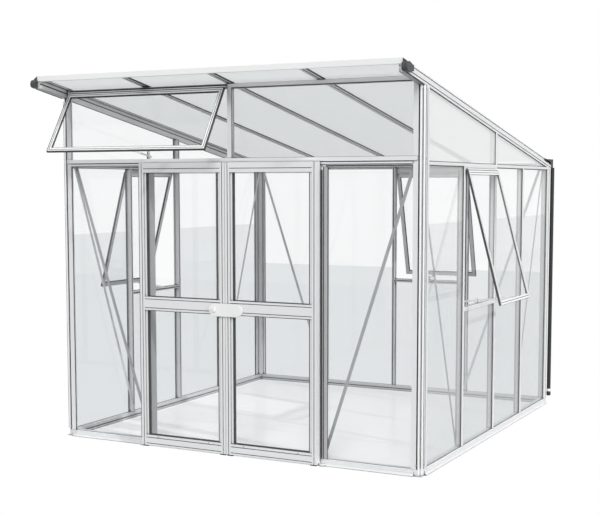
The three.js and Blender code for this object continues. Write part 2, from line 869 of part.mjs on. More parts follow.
function hood() {
  const outline = [
    [-hoodFront, hoodBottom],
    [-hoodFront + hoodFlange, hoodBottom],
    [-hoodFront + hoodFlange, hoodBottom + hoodSkin],
    [-hoodFront + hoodWall, hoodBottom + hoodSkin],
    [-hoodFront + hoodWall, hoodTop - hoodSkin],
    [-hoodFront + hoodFlange, hoodTop - hoodSkin],
    [-hoodFront + hoodFlange, hoodTop],
    [-hoodFront, hoodTop],
  ];
  const end = halfWidth - gableSetback - roofBarWidth - fit;
  const face = rectangle(-hoodFront, hoodBottom, -hoodFront + hoodWall, hoodTop);
  return join(rail(walls.front, outline, -end, end), rail(walls.front, face, -hoodEnd + fit, hoodEnd - fit));
}

// A moulded end cap: a rounded body that hugs the gable bar's nose, with an upright fin in front
function hoodCap(side) {
  const from = hoodEnd + fit;
  const width = hoodCapOuter - from;
  const height = hoodCapTop - hoodCapBottom;
  const body = new THREE.Shape();
  body.moveTo(-hoodCapFront, hoodCapBottom + height / 3);
  body.quadraticCurveTo(-hoodCapFront, hoodCapTop, -hoodFront + height / 8, hoodCapTop);
  body.quadraticCurveTo(-hoodFront + height / 2, hoodCapTop, -hoodFront + height, hoodCapTop - height / 4);
  body.lineTo(-hoodCapBack, hoodCapTop - height / 3);
  body.lineTo(-hoodCapBack, hoodCapBottom);
  body.lineTo(-hoodFront + height / 2, hoodCapBottom - height / 8);
  body.quadraticCurveTo(-hoodCapFront, hoodCapBottom - height / 8, -hoodCapFront, hoodCapBottom + height / 3);
  const outline = body.getPoints(6).slice(0, -1).map((point) => [point.x, point.y]);
  const fin = [
    [from, hoodCapBottom + height / 2],
    [hoodCapOuter, hoodCapBottom + height / 2],
    [hoodCapOuter, hoodCapTop - height / 8],
    [from, finTip],
  ].map(([x, z]) => [side * x, z]);
  const start = side > 0 ? from : -hoodCapOuter;
  const shape = join(
    rail(walls.front, outline, start, start + width),
    plate(walls.front, fin, -hoodFront - finThickness - fit, -hoodFront - fit),
  );
  const bar = rectangle(Math.min(side * halfWidth, 0), gableBase - fit,
    Math.max(side * halfWidth, 0), roofFrontHeight + gableDepth);
  const grown = bar.map(([x, z]) => [x === 0 ? x : x + side * fit, z]);
  return cut(shape, alongRoof(grown, -roofOverhang - fit, depth));
}

// Gutter end cap, in (y, z), with a tongue over the gable bar's ledge
function gutterCapOutline() {
  const rear = depth + gutterReach + hoodWall;
  const front = depth + roofTail + fit;
  const line = (y) => roofFrontHeight - gableLedge / 2 - roofDropAt(y);
  return [
    [front, gutterFloor - hoodWall],
    [rear, gutterFloor - hoodWall],
    [rear, gutterCapTop],
    [front - gutterCapTongue, gutterCapTop],
    [front, line(front)],
  ];
}

function gutterCap(side) {
  const from = gutterEnd + gutterSkin;
  const start = side > 0 ? from : -from - gutterCapThickness;
  return place(extrude(gutterCapOutline(), gutterCapThickness), new THREE.Vector3(start, 0, 0), Y, Z, X);
}

function downpipe() {
  const ballMiddle = (pipeRingBottom + pipeBallBottom) / 2;
  const profile = [
    [pipeBore, pipeBallBottom],
    [pipeBallRadius - hoodSkin, pipeBallBottom],
    [pipeBallRadius, ballMiddle],
    [pipeBallRadius - hoodSkin, pipeRingBottom],
    [pipeRingRadius, pipeRingBottom],
    [pipeRingRadius, pipeRingTop],
    [pipeRadius, pipeEnd],
    [pipeRadius, gutterFloor],
    [pipeBore, gutterFloor],
    [pipeBore, pipeBallBottom],
  ].map(([r, z]) => new THREE.Vector2(r, z));
  const lathe = bare(new THREE.LatheGeometry(profile, pipeSides));
  const pipe = place(lathe, new THREE.Vector3(pipeCentreX, depth + pipeOut, 0), X, Z, back(Y));
  return join(pipe, gutterCap(1));
}

// Panes
function pane(wall, u0, u1, z0, z1) {
  return plate(wall, rectangle(u0, z0, u1, z1), glassFront, glassFront + glassThickness);
}

const paneFoot = sillHeight - sillSlotDepth + slotSpare;
const paneUnderRail = railHeight - paneInset;
const sideEdge0 = postSideReach - glassLap;
const sideEdge1 = depth - postSideReach + glassLap;
const frontEdge = halfWidth - postFrontReach + glassLap;

function sidePanes(name, wall) {
  const [first, second, third] = sideBars;
  const columns = [
    ['front', sideEdge0, first - paneInset, paneUnderRail],
    ['below_window', first + paneInset, second - paneInset, transomHeight - paneInset],
    ['middle', second + paneInset, third - paneInset, paneUnderRail],
    ['rear', third + paneInset, sideEdge1, paneUnderRail],
  ];
  for (const [place_, u0, u1, top] of columns) {
    add(`${name}_pane_${place_}`, pane(wall, u0, u1, paneFoot, top), 'glass');
  }
  const foot = railHeight + paneInset;
  const head = (u) => gableBase + gableSlot - slotSpare - roofDropAt(u);
  const gables = [['front', sideEdge0, second - paneInset], ['rear', second + paneInset, sideEdge1]];
  for (const [place_, u0, u1] of gables) {
    const outline = [[u0, foot], [u1, foot], [u1, head(u1)], [u0, head(u0)]];
    add(`${name}_gable_pane_${place_}`, plate(wall, outline, glassFront, glassFront + glassThickness), 'glass');
  }
}

function rearPanes() {
  const wall = walls.rear;
  const [first, second, third] = frontBars;
  const top = eaveCentre - paneInset - roofDropAt(barDepth);
  add('rear_pane_left', pane(wall, -frontEdge, first - paneInset, paneFoot, top), 'glass');
  add('rear_pane_middle', pane(wall, first + paneInset, second - paneInset, paneFoot, top), 'glass');
  add('rear_pane_below_window',
    pane(wall, second + paneInset, third - paneInset, paneFoot, transomHeight - paneInset), 'glass');
  add('rear_pane_right', pane(wall, third + paneInset, frontEdge, paneFoot, top), 'glass');
}

function frontPanes() {
  const wall = walls.front;
  const jamb = jambCentre + jambWidth / 2 - jambSlot + slotSpare;
  const top = headerBottom + gableSlot - slotSpare;
  add('front_pane_left', pane(wall, -frontEdge, -jamb, paneFoot, top), 'glass');
  add('front_pane_right', pane(wall, jamb, frontEdge, paneFoot, top), 'glass');
  add('front_pane_top', pane(wall, paneInset, frontEdge, headerTop - gableSlot + slotSpare,
    topRailHeight - paneInset - roofDropAt(seatDepth)), 'glass');
}

// Windows: a frame of three layers round the glass, a hinge bead along its head, and the stay's ear
function windowLeaf(name, wall, size) {
  const { u0, u1, hingeZ, hingeOut, bottom, opening, stayLength, stayTilt } = size;
  const head = hingeZ - frameHang;
  const w0 = -hingeOut - frameThickness / 2;
  const w1 = w0 + frameThickness;
  const outer = rectangle(u0, bottom, u1, head);
  const inset = (distance) => rectangle(u0 + distance, bottom + distance, u1 - distance, head - distance);
  const glassEdge = frameMember - windowGlassLap;
  const glassW0 = (w0 + w1 - glassThickness) / 2;
  const glassW1 = glassW0 + glassThickness;
  const ring = (from, to, hole) => plate(wall, outer, from, to, [hole]);
  const bead = circle(beadRadius, -hingeOut, hingeZ);
  const neck = rectangle(-hingeOut - beadNeck / 2, head - overrun, -hingeOut + beadNeck / 2, hingeZ);
  const bead0 = u0 + windowLap + capEdge;
  const bead1 = u1 - windowLap - capEdge;
  const middle = (u0 + u1) / 2;
  const pivotZ = bottom + stayPivotUp;
  const pivotW = w1 + stayHeight / 2 + fit;
  const earU = middle + stayThickness / 2 + fit;
  const ear = block(wall, earU, earU + stayEarThickness, w1 - overrun, pivotW + stayHeight / 2,
    pivotZ - stayHeight / 2, pivotZ + stayHeight / 2);
  const pin = place(bare(new THREE.CylinderGeometry(stayPivotHole - fit, stayPivotHole - fit,
    stayThickness + 2 * fit + 2 * overrun, beadSteps)),
    at(wall, middle + fit, pivotW, pivotZ), back(wall.w), wall.u, Z);
  const frame = join(
    ring(w0, w0 + frameSkin, inset(frameGrooveIn)),
    plate(wall, inset(frameGrooveIn + frameGrooveWidth), w0, w0 + frameSkin, [inset(frameMember)]),
    ring(w0 + frameSkin - fit, glassW0 - fit, inset(frameMember)),
    ring(glassW0 - fit - overrun / 2, glassW1 + fit + overrun / 2, inset(glassEdge - slotSpare)),
    ring(glassW1 + fit, w1, inset(frameMember)),
    rail(wall, bead, bead0, bead1),
    rail(wall, neck, bead0, bead1),
    ear,
    pin,
  );
  const glass = plate(wall, inset(glassEdge), glassW0, glassW1);
  add(`${name}_frame`, swing(frame, wall, hingeZ, hingeOut, opening), 'aluminium');
  add(`${name}_glass`, swing(glass, wall, hingeZ, hingeOut, opening), 'glass');
  stay(name, wall, middle, swungPoint(pivotW, pivotZ, hingeZ, hingeOut, opening), stayLength, stayTilt);
}

// Where a point of a closed window lies once the window is open, as its w and z
function swungPoint(w, z, hingeZ, hingeOut, opening) {
  const away = w + hingeOut;
  const up = z - hingeZ;
  return [
    away * Math.cos(opening) + up * Math.sin(opening) - hingeOut,
    up * Math.cos(opening) - away * Math.sin(opening) + hingeZ,
  ];
}

// A stay: a flat arm with a pivot eye, a row of peg holes and a rounded tip
function stay(name, wall, u, [pivotW, pivotZ], length, slope) {
  const radius = stayHeight / 2;
  const shape = new THREE.Shape();
  shape.absarc(0, 0, radius, Math.PI / 2, (3 * Math.PI) / 2);
  shape.absarc(length - radius, 0, radius, -Math.PI / 2, Math.PI / 2);
  const drill = (centre, size) => extrude(circle(size, centre), stayThickness + 2 * overrun)
    .translate(0, 0, -overrun);
  const pegs = Array.from({ length: stayPegCount }, (_, i) => drill(stayPegStart + i * stayPegStep, stayPegHole));
  const arm = cut(extrude(shape.getPoints(5).map((point) => [point.x, point.y]), stayThickness),
    drill(0, stayPivotHole), ...pegs);
  const along = wall.w.clone().multiplyScalar(Math.cos(slope)).addScaledVector(Z, -Math.sin(slope));
  const across = Z.clone().multiplyScalar(Math.cos(slope)).addScaledVector(wall.w, Math.sin(slope));
  add(`${name}_stay`, place(arm, at(wall, u - stayThickness / 2, pivotW, pivotZ), along, across, wall.u),
    'aluminium');
}

// Sliding doors
function flutedOutline(width, flutes, slotLow, slotHigh) {
  const front = flutes.flatMap((share) => {
    const centre = share * width;
    return [
      [centre - fluteWidth / 2, 0],
      [centre - fluteWidth / 2, fluteDepth],
      [centre + fluteWidth / 2, fluteDepth],
      [centre + fluteWidth / 2, 0],
    ];
  });
  const slot0 = leafSlotFront - fit;
  const slot1 = leafSlotFront + glassThickness + fit;
  const high = slotHigh
    ? [[width, slot0], [width - leafSlotDepth, slot0], [width - leafSlotDepth, slot1], [width, slot1]] : [];
  const low = slotLow ? [[0, slot1], [leafSlotDepth, slot1], [leafSlotDepth, slot0], [0, slot0]] : [];
  return [[0, 0], ...front, [width, 0], ...high, [width, leafDepth], [0, leafDepth], ...low];
}

// A stile's outline: a rail's, with its front stepped back beside the glass
function stileOutline() {
  const outline = flutedOutline(stileWidth, stileFluteShares, false, true);
  const step = [
    [stileWidth - beadWidth, 0],
    [stileWidth - beadWidth, beadDepth],
    [stileWidth, beadDepth],
  ];
  return outline.flatMap(([u, t]) => (u === stileWidth && t === 0 ? step : [[u, t]]));
}

function doorLeaf(name, side) {
  const wall = walls.front;
  const inner = side * leafGap;
  const outer = side * (leafGap + leafWidth);
  const u0 = Math.min(inner, outer);
  const u1 = Math.max(inner, outer);
  const opening0 = u0 + stileWidth;
  const opening1 = u1 - stileWidth;
  const midTop = midRailBottom + midRailDeep;
  const topUnder = leafTop - topRailDeep;
  const bottomTop = leafBottom + bottomRailDeep;
  const shift = (outline, mirrored) => outline
    .map(([u, t]) => [mirrored ? -u : u, t - leafFront]);
  const stile = stileOutline();
  const crosswise = (outline, z) => rail(wall, outline.map(([h, t]) => [t - leafFront, h]),
    opening0 - beadWidth - overrun, opening1 + beadWidth + overrun, z);
  const hanger = (u) => [
    block(wall, u, u + hangerWidth, leafDepth - leafFront - overrun,
      -trackReach + trackSkin + fit + hangerThickness, trackLip + fit + hangerRise - hangerThickness, leafTop),
    block(wall, u, u + hangerWidth, -trackReach + trackSkin + fit,
      -trackReach + trackSkin + fit + hangerThickness, trackLip - hangerDrop, leafTop),
  ];
  const guide = block(wall, u0 - overrun, u1 + overrun, guideSlotFront - leafFront,
    guideSlotFront + guideSlotWidth - leafFront, leafBottom - overrun, leafBottom + guideSlotHeight);
  const frame = join(
    upright(wall, shift(stile, false), u0, leafBottom, leafTop),
    upright(wall, shift(stile, true), u1, leafBottom, leafTop),
    crosswise(flutedOutline(topRailDeep, topRailFluteShares, true, false), topUnder),
    crosswise(flutedOutline(midRailDeep, midRailFluteShares, true, true), midRailBottom),
    crosswise(flutedOutline(bottomRailDeep, bottomRailFluteShares, false, true), leafBottom),
    ...hanger(u0 + hangerInset),
    ...hanger(u1 - hangerInset - hangerWidth),
  );
  add(`${name}_frame`, cut(frame, guide), 'aluminium');
  const glassEdge = leafSlotDepth - slotSpare;
  const glass = (z0, z1) => plate(wall, rectangle(opening0 - glassEdge, z0, opening1 + glassEdge, z1),
    leafSlotFront - leafFront, leafSlotFront - leafFront + glassThickness);
  add(`${name}_pane_upper`, glass(midTop - glassEdge, topUnder + glassEdge), 'glass');
  add(`${name}_pane_lower`, glass(bottomTop - glassEdge, midRailBottom + glassEdge), 'glass');
}

// Lock cover: a stadium plate across the joint, and the knob that turns in its left end
function lockCover() {
  const radius = (lockTop - lockBottom) / 2;
  const middle = (lockTop + lockBottom) / 2;
  const stadium = (inset) => {
    const shape = new THREE.Shape();
    shape.absarc(lockLeft + radius, middle, radius - inset, Math.PI / 2, (3 * Math.PI) / 2);
    shape.absarc(lockRight - radius, middle, radius - inset, -Math.PI / 2, Math.PI / 2);
    return shape.getPoints(10).map((point) => [point.x, point.y]);
  };
  const back0 = -leafFront - fit;
  const step = -leafFront - fit - lockDepth + lockBorder;
  const hole = Array.from({ length: 2 * beadSteps }, (_, i) => {
    const angle = (Math.PI * i) / beadSteps;
    return [knobCentre + (knobShaft + fit) * Math.cos(angle), middle + (knobShaft + fit) * Math.sin(angle)];
  });
  const body = plate(walls.front, stadium(0), step, back0);
  const crown = plate(walls.front, stadium(lockBorder), step - lockBorder, step + overrun);
  const bore = plate(walls.front, hole, step - lockBorder - overrun, back0 + overrun);
  return cut(join(body, crown), bore);
}

function lockKnob() {
  const middle = (lockTop + lockBottom) / 2;
  const face = -leafFront - fit - lockDepth;
  const disc = (radius, w0, w1) => place(
    bare(new THREE.CylinderGeometry(radius, radius, w1 - w0, 2 * beadSteps)),
    at(walls.front, knobCentre, (w0 + w1) / 2, middle), X, Y, Z);
  return join(
    disc(knobRadius, face - fit - knobDepth, face - fit),
    disc(knobShaft, face - fit - overrun, face + knobShaftDepth),
    block(walls.front, knobCentre - knobGrip / 2, knobCentre + knobGrip / 2,
      face - fit - knobDepth - knobGrip, face - fit - knobDepth + overrun,
      middle - knobRadius + knobGrip, middle + knobRadius - knobGrip),
  );
}

// The whole house
add('base_frame', baseFrame(), 'aluminium');
for (const corner of corners()) {
  add(corner.name, cornerPost(corner), 'aluminium');
}
add('left_wall_bars', sideWall(walls.left, -1), 'aluminium');
add('right_wall_bars', sideWall(walls.right, 1), 'aluminium');
add('rear_wall_bars', rearWall(), 'aluminium');
add('front_wall_frame', frontFrame(), 'aluminium');
frontBars.forEach((x, i) => {
  add(`roof_bar_${i + 1}`, alongRoof(roofBarOutline(x), -roofOverhang, depth + roofTail), 'aluminium');
});
for (let bay = 0; bay < bayCount; bay += 1) {
  add(`roof_sheet_${bay + 1}`, roofSheet(bay), 'opal');
}
add('front_hood', hood(), 'aluminium');
add('hood_cap_left', hoodCap(-1), 'darkPlastic');
add('hood_cap_right', hoodCap(1), 'darkPlastic');
add('gutter_cap_left', gutterCap(-1), 'blackPlastic');
add('downpipe', downpipe(), 'blackPlastic');
sidePanes('left', walls.left);
sidePanes('right', walls.right);
rearPanes();
frontPanes();
doorLeaf('left_door', -1);
doorLeaf('right_door', 1);
add('lock_cover', lockCover(), 'whitePlastic');
add('lock_knob', lockKnob(), 'whitePlastic');
const sideWindow = {
  u0: sideBars[0] + windowLap,
  u1: sideBars[1] - windowLap,
  hingeZ: windowHinge,
  hingeOut: windowHingeOut,
  bottom: windowBottom,
  opening: windowOpening,
  stayLength: windowStayLength,
  stayTilt: windowStayTilt,
};
windowLeaf('left_window', walls.left, sideWindow);
windowLeaf('right_window', walls.right, sideWindow);
windowLeaf('rear_window', walls.rear,
  { ...sideWindow, u0: frontBars[1] + windowLap, u1: frontBars[2] - windowLap });
windowLeaf('front_vent', walls.front, {
  u0: -halfWidth + postFrontReach + ventPostGap,
  u1: -flangeWidth / 2 - ventLap,
  hingeZ: ventHinge,
  hingeOut: ventHingeOut,
  bottom: ventBottom,
  opening: ventOpening,
  stayLength: ventStayLength,
  stayTilt: ventStayTilt,
});

export default house;
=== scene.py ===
"""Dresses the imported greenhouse. Every part gets a procedural finish. Bolts, seals, gaskets, brushes, door
rollers and small mouldings are added, and a plain white studio with a camera at the picture's view."""

import json
import math

import bmesh
import bpy
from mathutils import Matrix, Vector


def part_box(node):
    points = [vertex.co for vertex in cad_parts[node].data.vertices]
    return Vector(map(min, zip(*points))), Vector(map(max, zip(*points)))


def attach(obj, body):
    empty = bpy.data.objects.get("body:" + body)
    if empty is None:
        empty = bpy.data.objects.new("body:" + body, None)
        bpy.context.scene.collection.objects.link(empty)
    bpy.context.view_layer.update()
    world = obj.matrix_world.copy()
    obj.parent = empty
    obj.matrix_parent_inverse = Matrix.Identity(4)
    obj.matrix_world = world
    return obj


bl_info = {
    "name": "Greenhouse Dressing",
    "version": (1, 0, 0),
    "blender": (4, 5, 0),
    "location": "View3D > Sidebar > Greenhouse",
    "description": "Finishes and small fittings for a mono-pitch aluminium greenhouse",
    "category": "Object",
}

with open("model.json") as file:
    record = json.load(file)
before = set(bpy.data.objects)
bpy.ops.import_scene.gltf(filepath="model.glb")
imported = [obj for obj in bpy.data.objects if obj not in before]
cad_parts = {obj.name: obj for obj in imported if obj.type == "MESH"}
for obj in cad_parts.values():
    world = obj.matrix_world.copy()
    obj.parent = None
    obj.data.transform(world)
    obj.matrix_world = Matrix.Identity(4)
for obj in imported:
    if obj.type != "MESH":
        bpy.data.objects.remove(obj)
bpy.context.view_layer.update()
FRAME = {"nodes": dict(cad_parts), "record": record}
NODES = FRAME["nodes"]
RECORD = FRAME["record"]
BODIES = RECORD["behaviour"]["bodies"]
SLOTS = {part["node"]: part["material_slot"] for part in RECORD["subparts"]}
MM = 0.001
HALF_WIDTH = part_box("post_front_right")[1].x
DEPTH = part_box("post_rear_right")[1].y
BAR_SPACING = 0.62
EDGE_UNDERSIDE = 2.3014
JAMB_GROOVE = 5 * MM
WHITE = (1, 1, 1, 1)


def colour(default, name, description):
    """A colour property with its default."""
    return bpy.props.FloatVectorProperty(
        name=name, description=description, subtype="COLOR", size=3, min=0, max=1, default=default
    )


def length(default, name, description):
    """A length property in metres with its default."""
    return bpy.props.FloatProperty(
        name=name, description=description, default=default, min=0, unit="LENGTH", precision=4
    )


class GreenhouseFinishes(bpy.types.PropertyGroup):
    """Colours of the finishes."""

    aluminium: colour((0.82, 0.83, 0.84), "Aluminium", "Colour of the drawn and anodised profiles")
    # Painted shade: a darker copy of the aluminium for the left and rear walls, which lie in shade.
    shaded_aluminium: colour(
        (0.74, 0.75, 0.76), "Dull aluminium", "Colour of the left and rear walls' profiles"
    )
    # Painted shade: a dark copy of the aluminium for the jambs' linings and flanges, the walls' inner faces
    # and the verge plates, which lie in shade.
    lining: colour(
        (0.42, 0.43, 0.44), "Lining", "Colour of the jambs' linings and of the front and right walls inside"
    )
    # Painted light: a lighter copy of the aluminium for the hood and the vent's and right window's frames,
    # which catch the light.
    lit_aluminium: colour(
        (0.93, 0.94, 0.94), "Bright aluminium", "Colour of the hood and the vent's and right window's frames"
    )
    glass: colour((0.60, 0.66, 0.68), "Glass", "Tint of the panes where they catch light")
    # Painted light: a lighter tint for the panes that face the lamps.
    lit_glass: colour(
        (0.98, 0.99, 0.99), "Bright glass", "Tint of the right wall's panes, which catch more light"
    )
    opal: colour((0.79, 0.80, 0.80), "Opal sheet", "Colour of the twin-wall roof sheets")
    dark_plastic: colour((0.045, 0.045, 0.047), "Dark plastic", "Colour of the hood's end caps")
    black_plastic: colour((0.012, 0.012, 0.013), "Black plastic", "Colour of the downpipe and gutter caps")
    white_plastic: colour((0.93, 0.93, 0.93), "White plastic", "Colour of the lock cover and knob")
    seal: colour((0.060, 0.060, 0.062), "Seal", "Colour of the glazing seals and brushes")
    steel: colour((0.55, 0.55, 0.56), "Steel", "Colour of the bolts")


class GreenhouseSizes(bpy.types.PropertyGroup):
    """Sizes of the small fittings."""

    bolt_radius: length(5.5 * MM, "Bolt head radius", "Radius of a bolt head across its flange")
    bolt_height: length(3.6 * MM, "Bolt head height", "How far a bolt head stands off its face")
    seal_radius: length(2.0 * MM, "Seal radius", "Radius of the seal bead that holds a pane")
    cord_radius: length(1.5 * MM, "Cord radius", "Radius of the cords down the front posts")
    roof_seal_radius: length(3.0 * MM, "Roof seal radius", "Radius of the seal beside a roof bar")
    bristle_length: length(19 * MM, "Bristle length", "How far a brush strip reaches out of its groove")
    bristle_pitch: length(5 * MM, "Bristle pitch", "Distance between two tufts of a brush strip")
    roller_radius: length(5.8 * MM, "Roller radius", "Radius of a door roller")
    roller_width: length(4 * MM, "Roller width", "Width of a door roller")


class GreenhouseStage(bpy.types.PropertyGroup):
    """Lamps, floor and camera."""

    world_strength: bpy.props.FloatProperty(
        name="World strength", description="Strength of the even light from all round", default=0.22, min=0
    )
    key_strength: bpy.props.FloatProperty(
        name="Key light", description="Strength of the soft light from above the front", default=1.75, min=0
    )
    fill_strength: bpy.props.FloatProperty(
        name="Fill light", description="Strength of the sharper light from the right", default=1.8, min=0
    )
    top_strength: bpy.props.FloatProperty(
        name="Top light", description="Strength of the soft light from straight above", default=0.2, min=0
    )
    softness: bpy.props.FloatProperty(
        name="Softness", description="How wide the key and top lights look from the ground",
        default=math.radians(24), subtype="ANGLE"
    )
    fill_width: bpy.props.FloatProperty(
        name="Fill width", description="How wide the fill light looks from the ground",
        default=math.radians(1.2), subtype="ANGLE"
    )
    shadow_share: bpy.props.FloatProperty(
        name="Shadow", description="Share of the inner floor's white that the lights give",
        default=0.64, min=0, max=1, subtype="FACTOR"
    )
    bounce: bpy.props.FloatProperty(
        name="Bounce", description="Share of the light that the floor throws back on the house",
        default=0.4, min=0, max=1, subtype="FACTOR"
    )
    lens: bpy.props.FloatProperty(
        name="Lens", description="Focal length on a 36 mm wide sensor, in millimetres", default=70.62, min=1
    )
    camera_place: bpy.props.FloatVectorProperty(
        name="Camera place", description="Where the camera stands", subtype="TRANSLATION", unit="LENGTH",
        default=(3.7377, -6.2616, 1.6931)
    )
    camera_turn: bpy.props.FloatProperty(
        name="Camera turn", description="How far the camera is turned to the left of +Y",
        default=math.radians(26.872), subtype="ANGLE"
    )
    camera_dip: bpy.props.FloatProperty(
        name="Camera dip", description="How far the camera looks down",
        default=math.radians(5.041), subtype="ANGLE"
    )


class Value:
    """An output socket of a shader tree. Python's operators on it add the Math nodes."""

    def __init__(self, finish, socket):
        self.finish = finish
        self.socket = socket

    def maths(self, operation, first, second):
        return self.finish.node("ShaderNodeMath", {"operation": operation}, {0: first, 1: second})

    def __add__(self, other):
        return self.maths("ADD", self, other)

    def __radd__(self, other):
        return self.maths("ADD", other, self)

    def __sub__(self, other):
        return self.maths("SUBTRACT", self, other)

    def __rsub__(self, other):
        return self.maths("SUBTRACT", other, self)

    def __mul__(self, other):
        return self.maths("MULTIPLY", self, other)

    def __rmul__(self, other):
        return self.maths("MULTIPLY", other, self)


class Finish:
    """A material or a world, with one way to add a node from its type, its settings and its sockets."""

    def __init__(self, name, shelf="materials"):
        self.owner = getattr(bpy.data, shelf).new(name)
        self.owner.use_nodes = True
        self.tree = self.owner.node_tree
        self.tree.nodes.clear()

    def node(self, kind, settings=None, sockets=None, output=0):
        made = self.tree.nodes.new(kind)
        for key, value in (settings or {}).items():
            setattr(made, key, value)
        for key, value in (sockets or {}).items():
            if isinstance(value, Value):
                self.tree.links.new(value.socket, made.inputs[key])
            else:
                made.inputs[key].default_value = value
        return Value(self, made.outputs[output])

    def coordinates(self, stretch=(1, 1, 1)):
        place = self.node("ShaderNodeTexCoord", output="Object")
        return self.node("ShaderNodeMapping", {"vector_type": "POINT"}, {"Vector": place, "Scale": stretch})

    def noise(self, place, scale, detail=2.0):
        return self.node("ShaderNodeTexNoise", None, {"Vector": place, "Scale": scale, "Detail": detail})

    def between(self, factor, first, second):
        """A colour between two by a factor. Each is a plain colour or another node's."""
        first, second = (end if isinstance(end, Value) else (*end, 1) for end in (first, second))
        ends = {"Factor": factor, 6: first, 7: second}
        return self.node("ShaderNodeMix", {"data_type": "RGBA"}, ends, output=2)

    def step(self, value, start, end):
        """A soft step from nought at the start to one at the end."""
        return self.node("ShaderNodeMapRange", {"interpolation_type": "SMOOTHSTEP"},
                         {"Value": value, "From Min": start, "From Max": end})

    def axis(self, place, letter):
        return self.node("ShaderNodeSeparateXYZ", None, {"Vector": place}, output=letter)

    def openness(self, distance):
        """One on an open face, and less down in a groove or a hollow. It drives the painted shade in grooves.
        """
        return self.node("ShaderNodeAmbientOcclusion", {"samples": 8}, {"Distance": distance}, output="AO")

    def bump(self, height, strength, distance):
        sockets = {"Height": height, "Strength": strength, "Distance": distance}
        return self.node("ShaderNodeBump", None, sockets)

    def principled(self, sockets):
        return self.node("ShaderNodeBsdfPrincipled", None, sockets)

    def mixed(self, factor, first, second):
        """A shader between two by a factor."""
        return self.node("ShaderNodeMixShader", None, {0: factor, 1: first, 2: second})

    def seen(self):
        """One where the camera looks at the surface, straight or in a mirror, or else nought."""
        straight = self.node("ShaderNodeLightPath", output="Is Camera Ray")
        mirrored = self.node("ShaderNodeLightPath", output="Is Glossy Ray")
        return straight.maths("MAXIMUM", straight, mirrored)

    def end(self, shader, kind="ShaderNodeOutputMaterial"):
        out = self.tree.nodes.new(kind)
        self.tree.links.new(shader.socket, out.inputs["Surface"])
        return self.owner


def shaded(rgb, share):
    """A colour made darker or lighter by a share."""
    return tuple(min(1.0, channel * share) for channel in rgb)


def make_aluminium(name, rgb, stretch, shaded_rgb=None, shade_limits=()):
    """Anodised aluminium, with faint draw lines along the stretched axis, soft clouds and painted shade in
    grooves.
    Each limit is an axis with the start and end of a step, and the shaded colour, painted shade, holds
    up to the start."""
    finish = Finish(name)
    lines = finish.noise(finish.coordinates(stretch), 420, 3)
    clouds = finish.noise(finish.coordinates(), 2.3, 3)
    tone = lines * 0.35 + clouds * 0.65
    open_face_colour = finish.between(tone, shaded(rgb, 0.93), shaded(rgb, 1.06))
    # Painted shade: the shaded colour holds up to each limit's start.
    for letter, start, end in shade_limits:
        past = finish.step(finish.axis(finish.coordinates(), letter), start, end)
        open_face_colour = finish.between(past, shaded_rgb, open_face_colour)
    # Painted shade: the colour goes dark down in grooves and joints, where the openness falls.
    groove_shade = finish.step(finish.openness(22 * MM), 0.34, 0.88)
    shader = finish.principled({
        "Base Color": finish.between(groove_shade, shaded(rgb, 0.12), open_face_colour),
        "Metallic": 0.2,
        "Roughness": 0.34 + lines * 0.14,
        "Normal": finish.bump(lines, 0.10, 0.4 * MM),
    })
    return finish.end(shader)


def make_glass(name, rgb, haze, glow, steps):
    """Clear sheet glass with a thin haze that has a painted glow, and a faint mirror. Each step is a height
    and how much greyer the glass is below it, a painted reflection of the studio's floor."""
    finish = Finish(name)
    place = finish.coordinates()
    height = finish.axis(place, "Z")
    smear = finish.noise(place, 1.4, 2)
    deep = smear * 0.06
    blur = 12 * MM
    # Painted reflection: below each step's height the glass goes greyer.
    for level, share in steps:
        deep = deep + finish.step(height, level, level - blur) * share
    aslant = finish.node("ShaderNodeLayerWeight", None, {"Blend": 0.5}, output="Facing")
    clear = finish.node("ShaderNodeBsdfTransparent", None, {"Color": (0.988, 0.990, 0.991, 1)})
    grey = finish.node("ShaderNodeBsdfTransparent", None, {"Color": (0.885, 0.897, 0.902, 1)})
    mirror = finish.node("ShaderNodeBsdfGlossy", None, {"Color": WHITE, "Roughness": 0.0})
    body = finish.principled({
        "Base Color": finish.between(smear, shaded(rgb, 0.97), shaded(rgb, 1.03)),
        "Roughness": 0.04,
        # Painted light: the body glows by the given amount, though it is no lamp.
        "Emission Color": WHITE,
        "Emission Strength": glow,
    })
    through = finish.mixed(deep, clear, grey)
    mirrored = finish.mixed(0.018 + aslant * aslant * aslant * 0.16, through, mirror)
    return finish.end(finish.mixed(haze + smear * 0.008, mirrored, body))


def make_opal(name, rgb, pitch):
    """Opal twin-wall sheet with a faint painted glow for the light through it. Its inner webs show as faint
    lines down the fall.
    """
    finish = Finish(name)
    place = finish.coordinates()
    across = finish.axis(place, "X") * (2 * math.pi / pitch)
    wave = finish.node("ShaderNodeMath", {"operation": "SINE"}, {0: across})
    web = finish.step(wave, 0.90, 1.0)
    clouds = finish.noise(place, 4, 3)
    shader = finish.principled({
        "Base Color": finish.between(web * 0.6 + clouds * 0.25, shaded(rgb, 1.02), shaded(rgb, 0.84)),
        "Roughness": 0.50 + clouds * 0.12,
        "Specular IOR Level": 0.04,
        "Normal": finish.bump(wave * 0.5 + clouds * 0.2, 0.08, 1.0 * MM),
        # Painted light: a steady glow in place of light passing through the sheet.
        "Emission Color": WHITE,
        "Emission Strength": 0.42,
    })
    through = finish.node("ShaderNodeBsdfTranslucent", None, {"Color": (*shaded(rgb, 1.1), 1)})
    return finish.end(finish.mixed(0.5, shader, through))


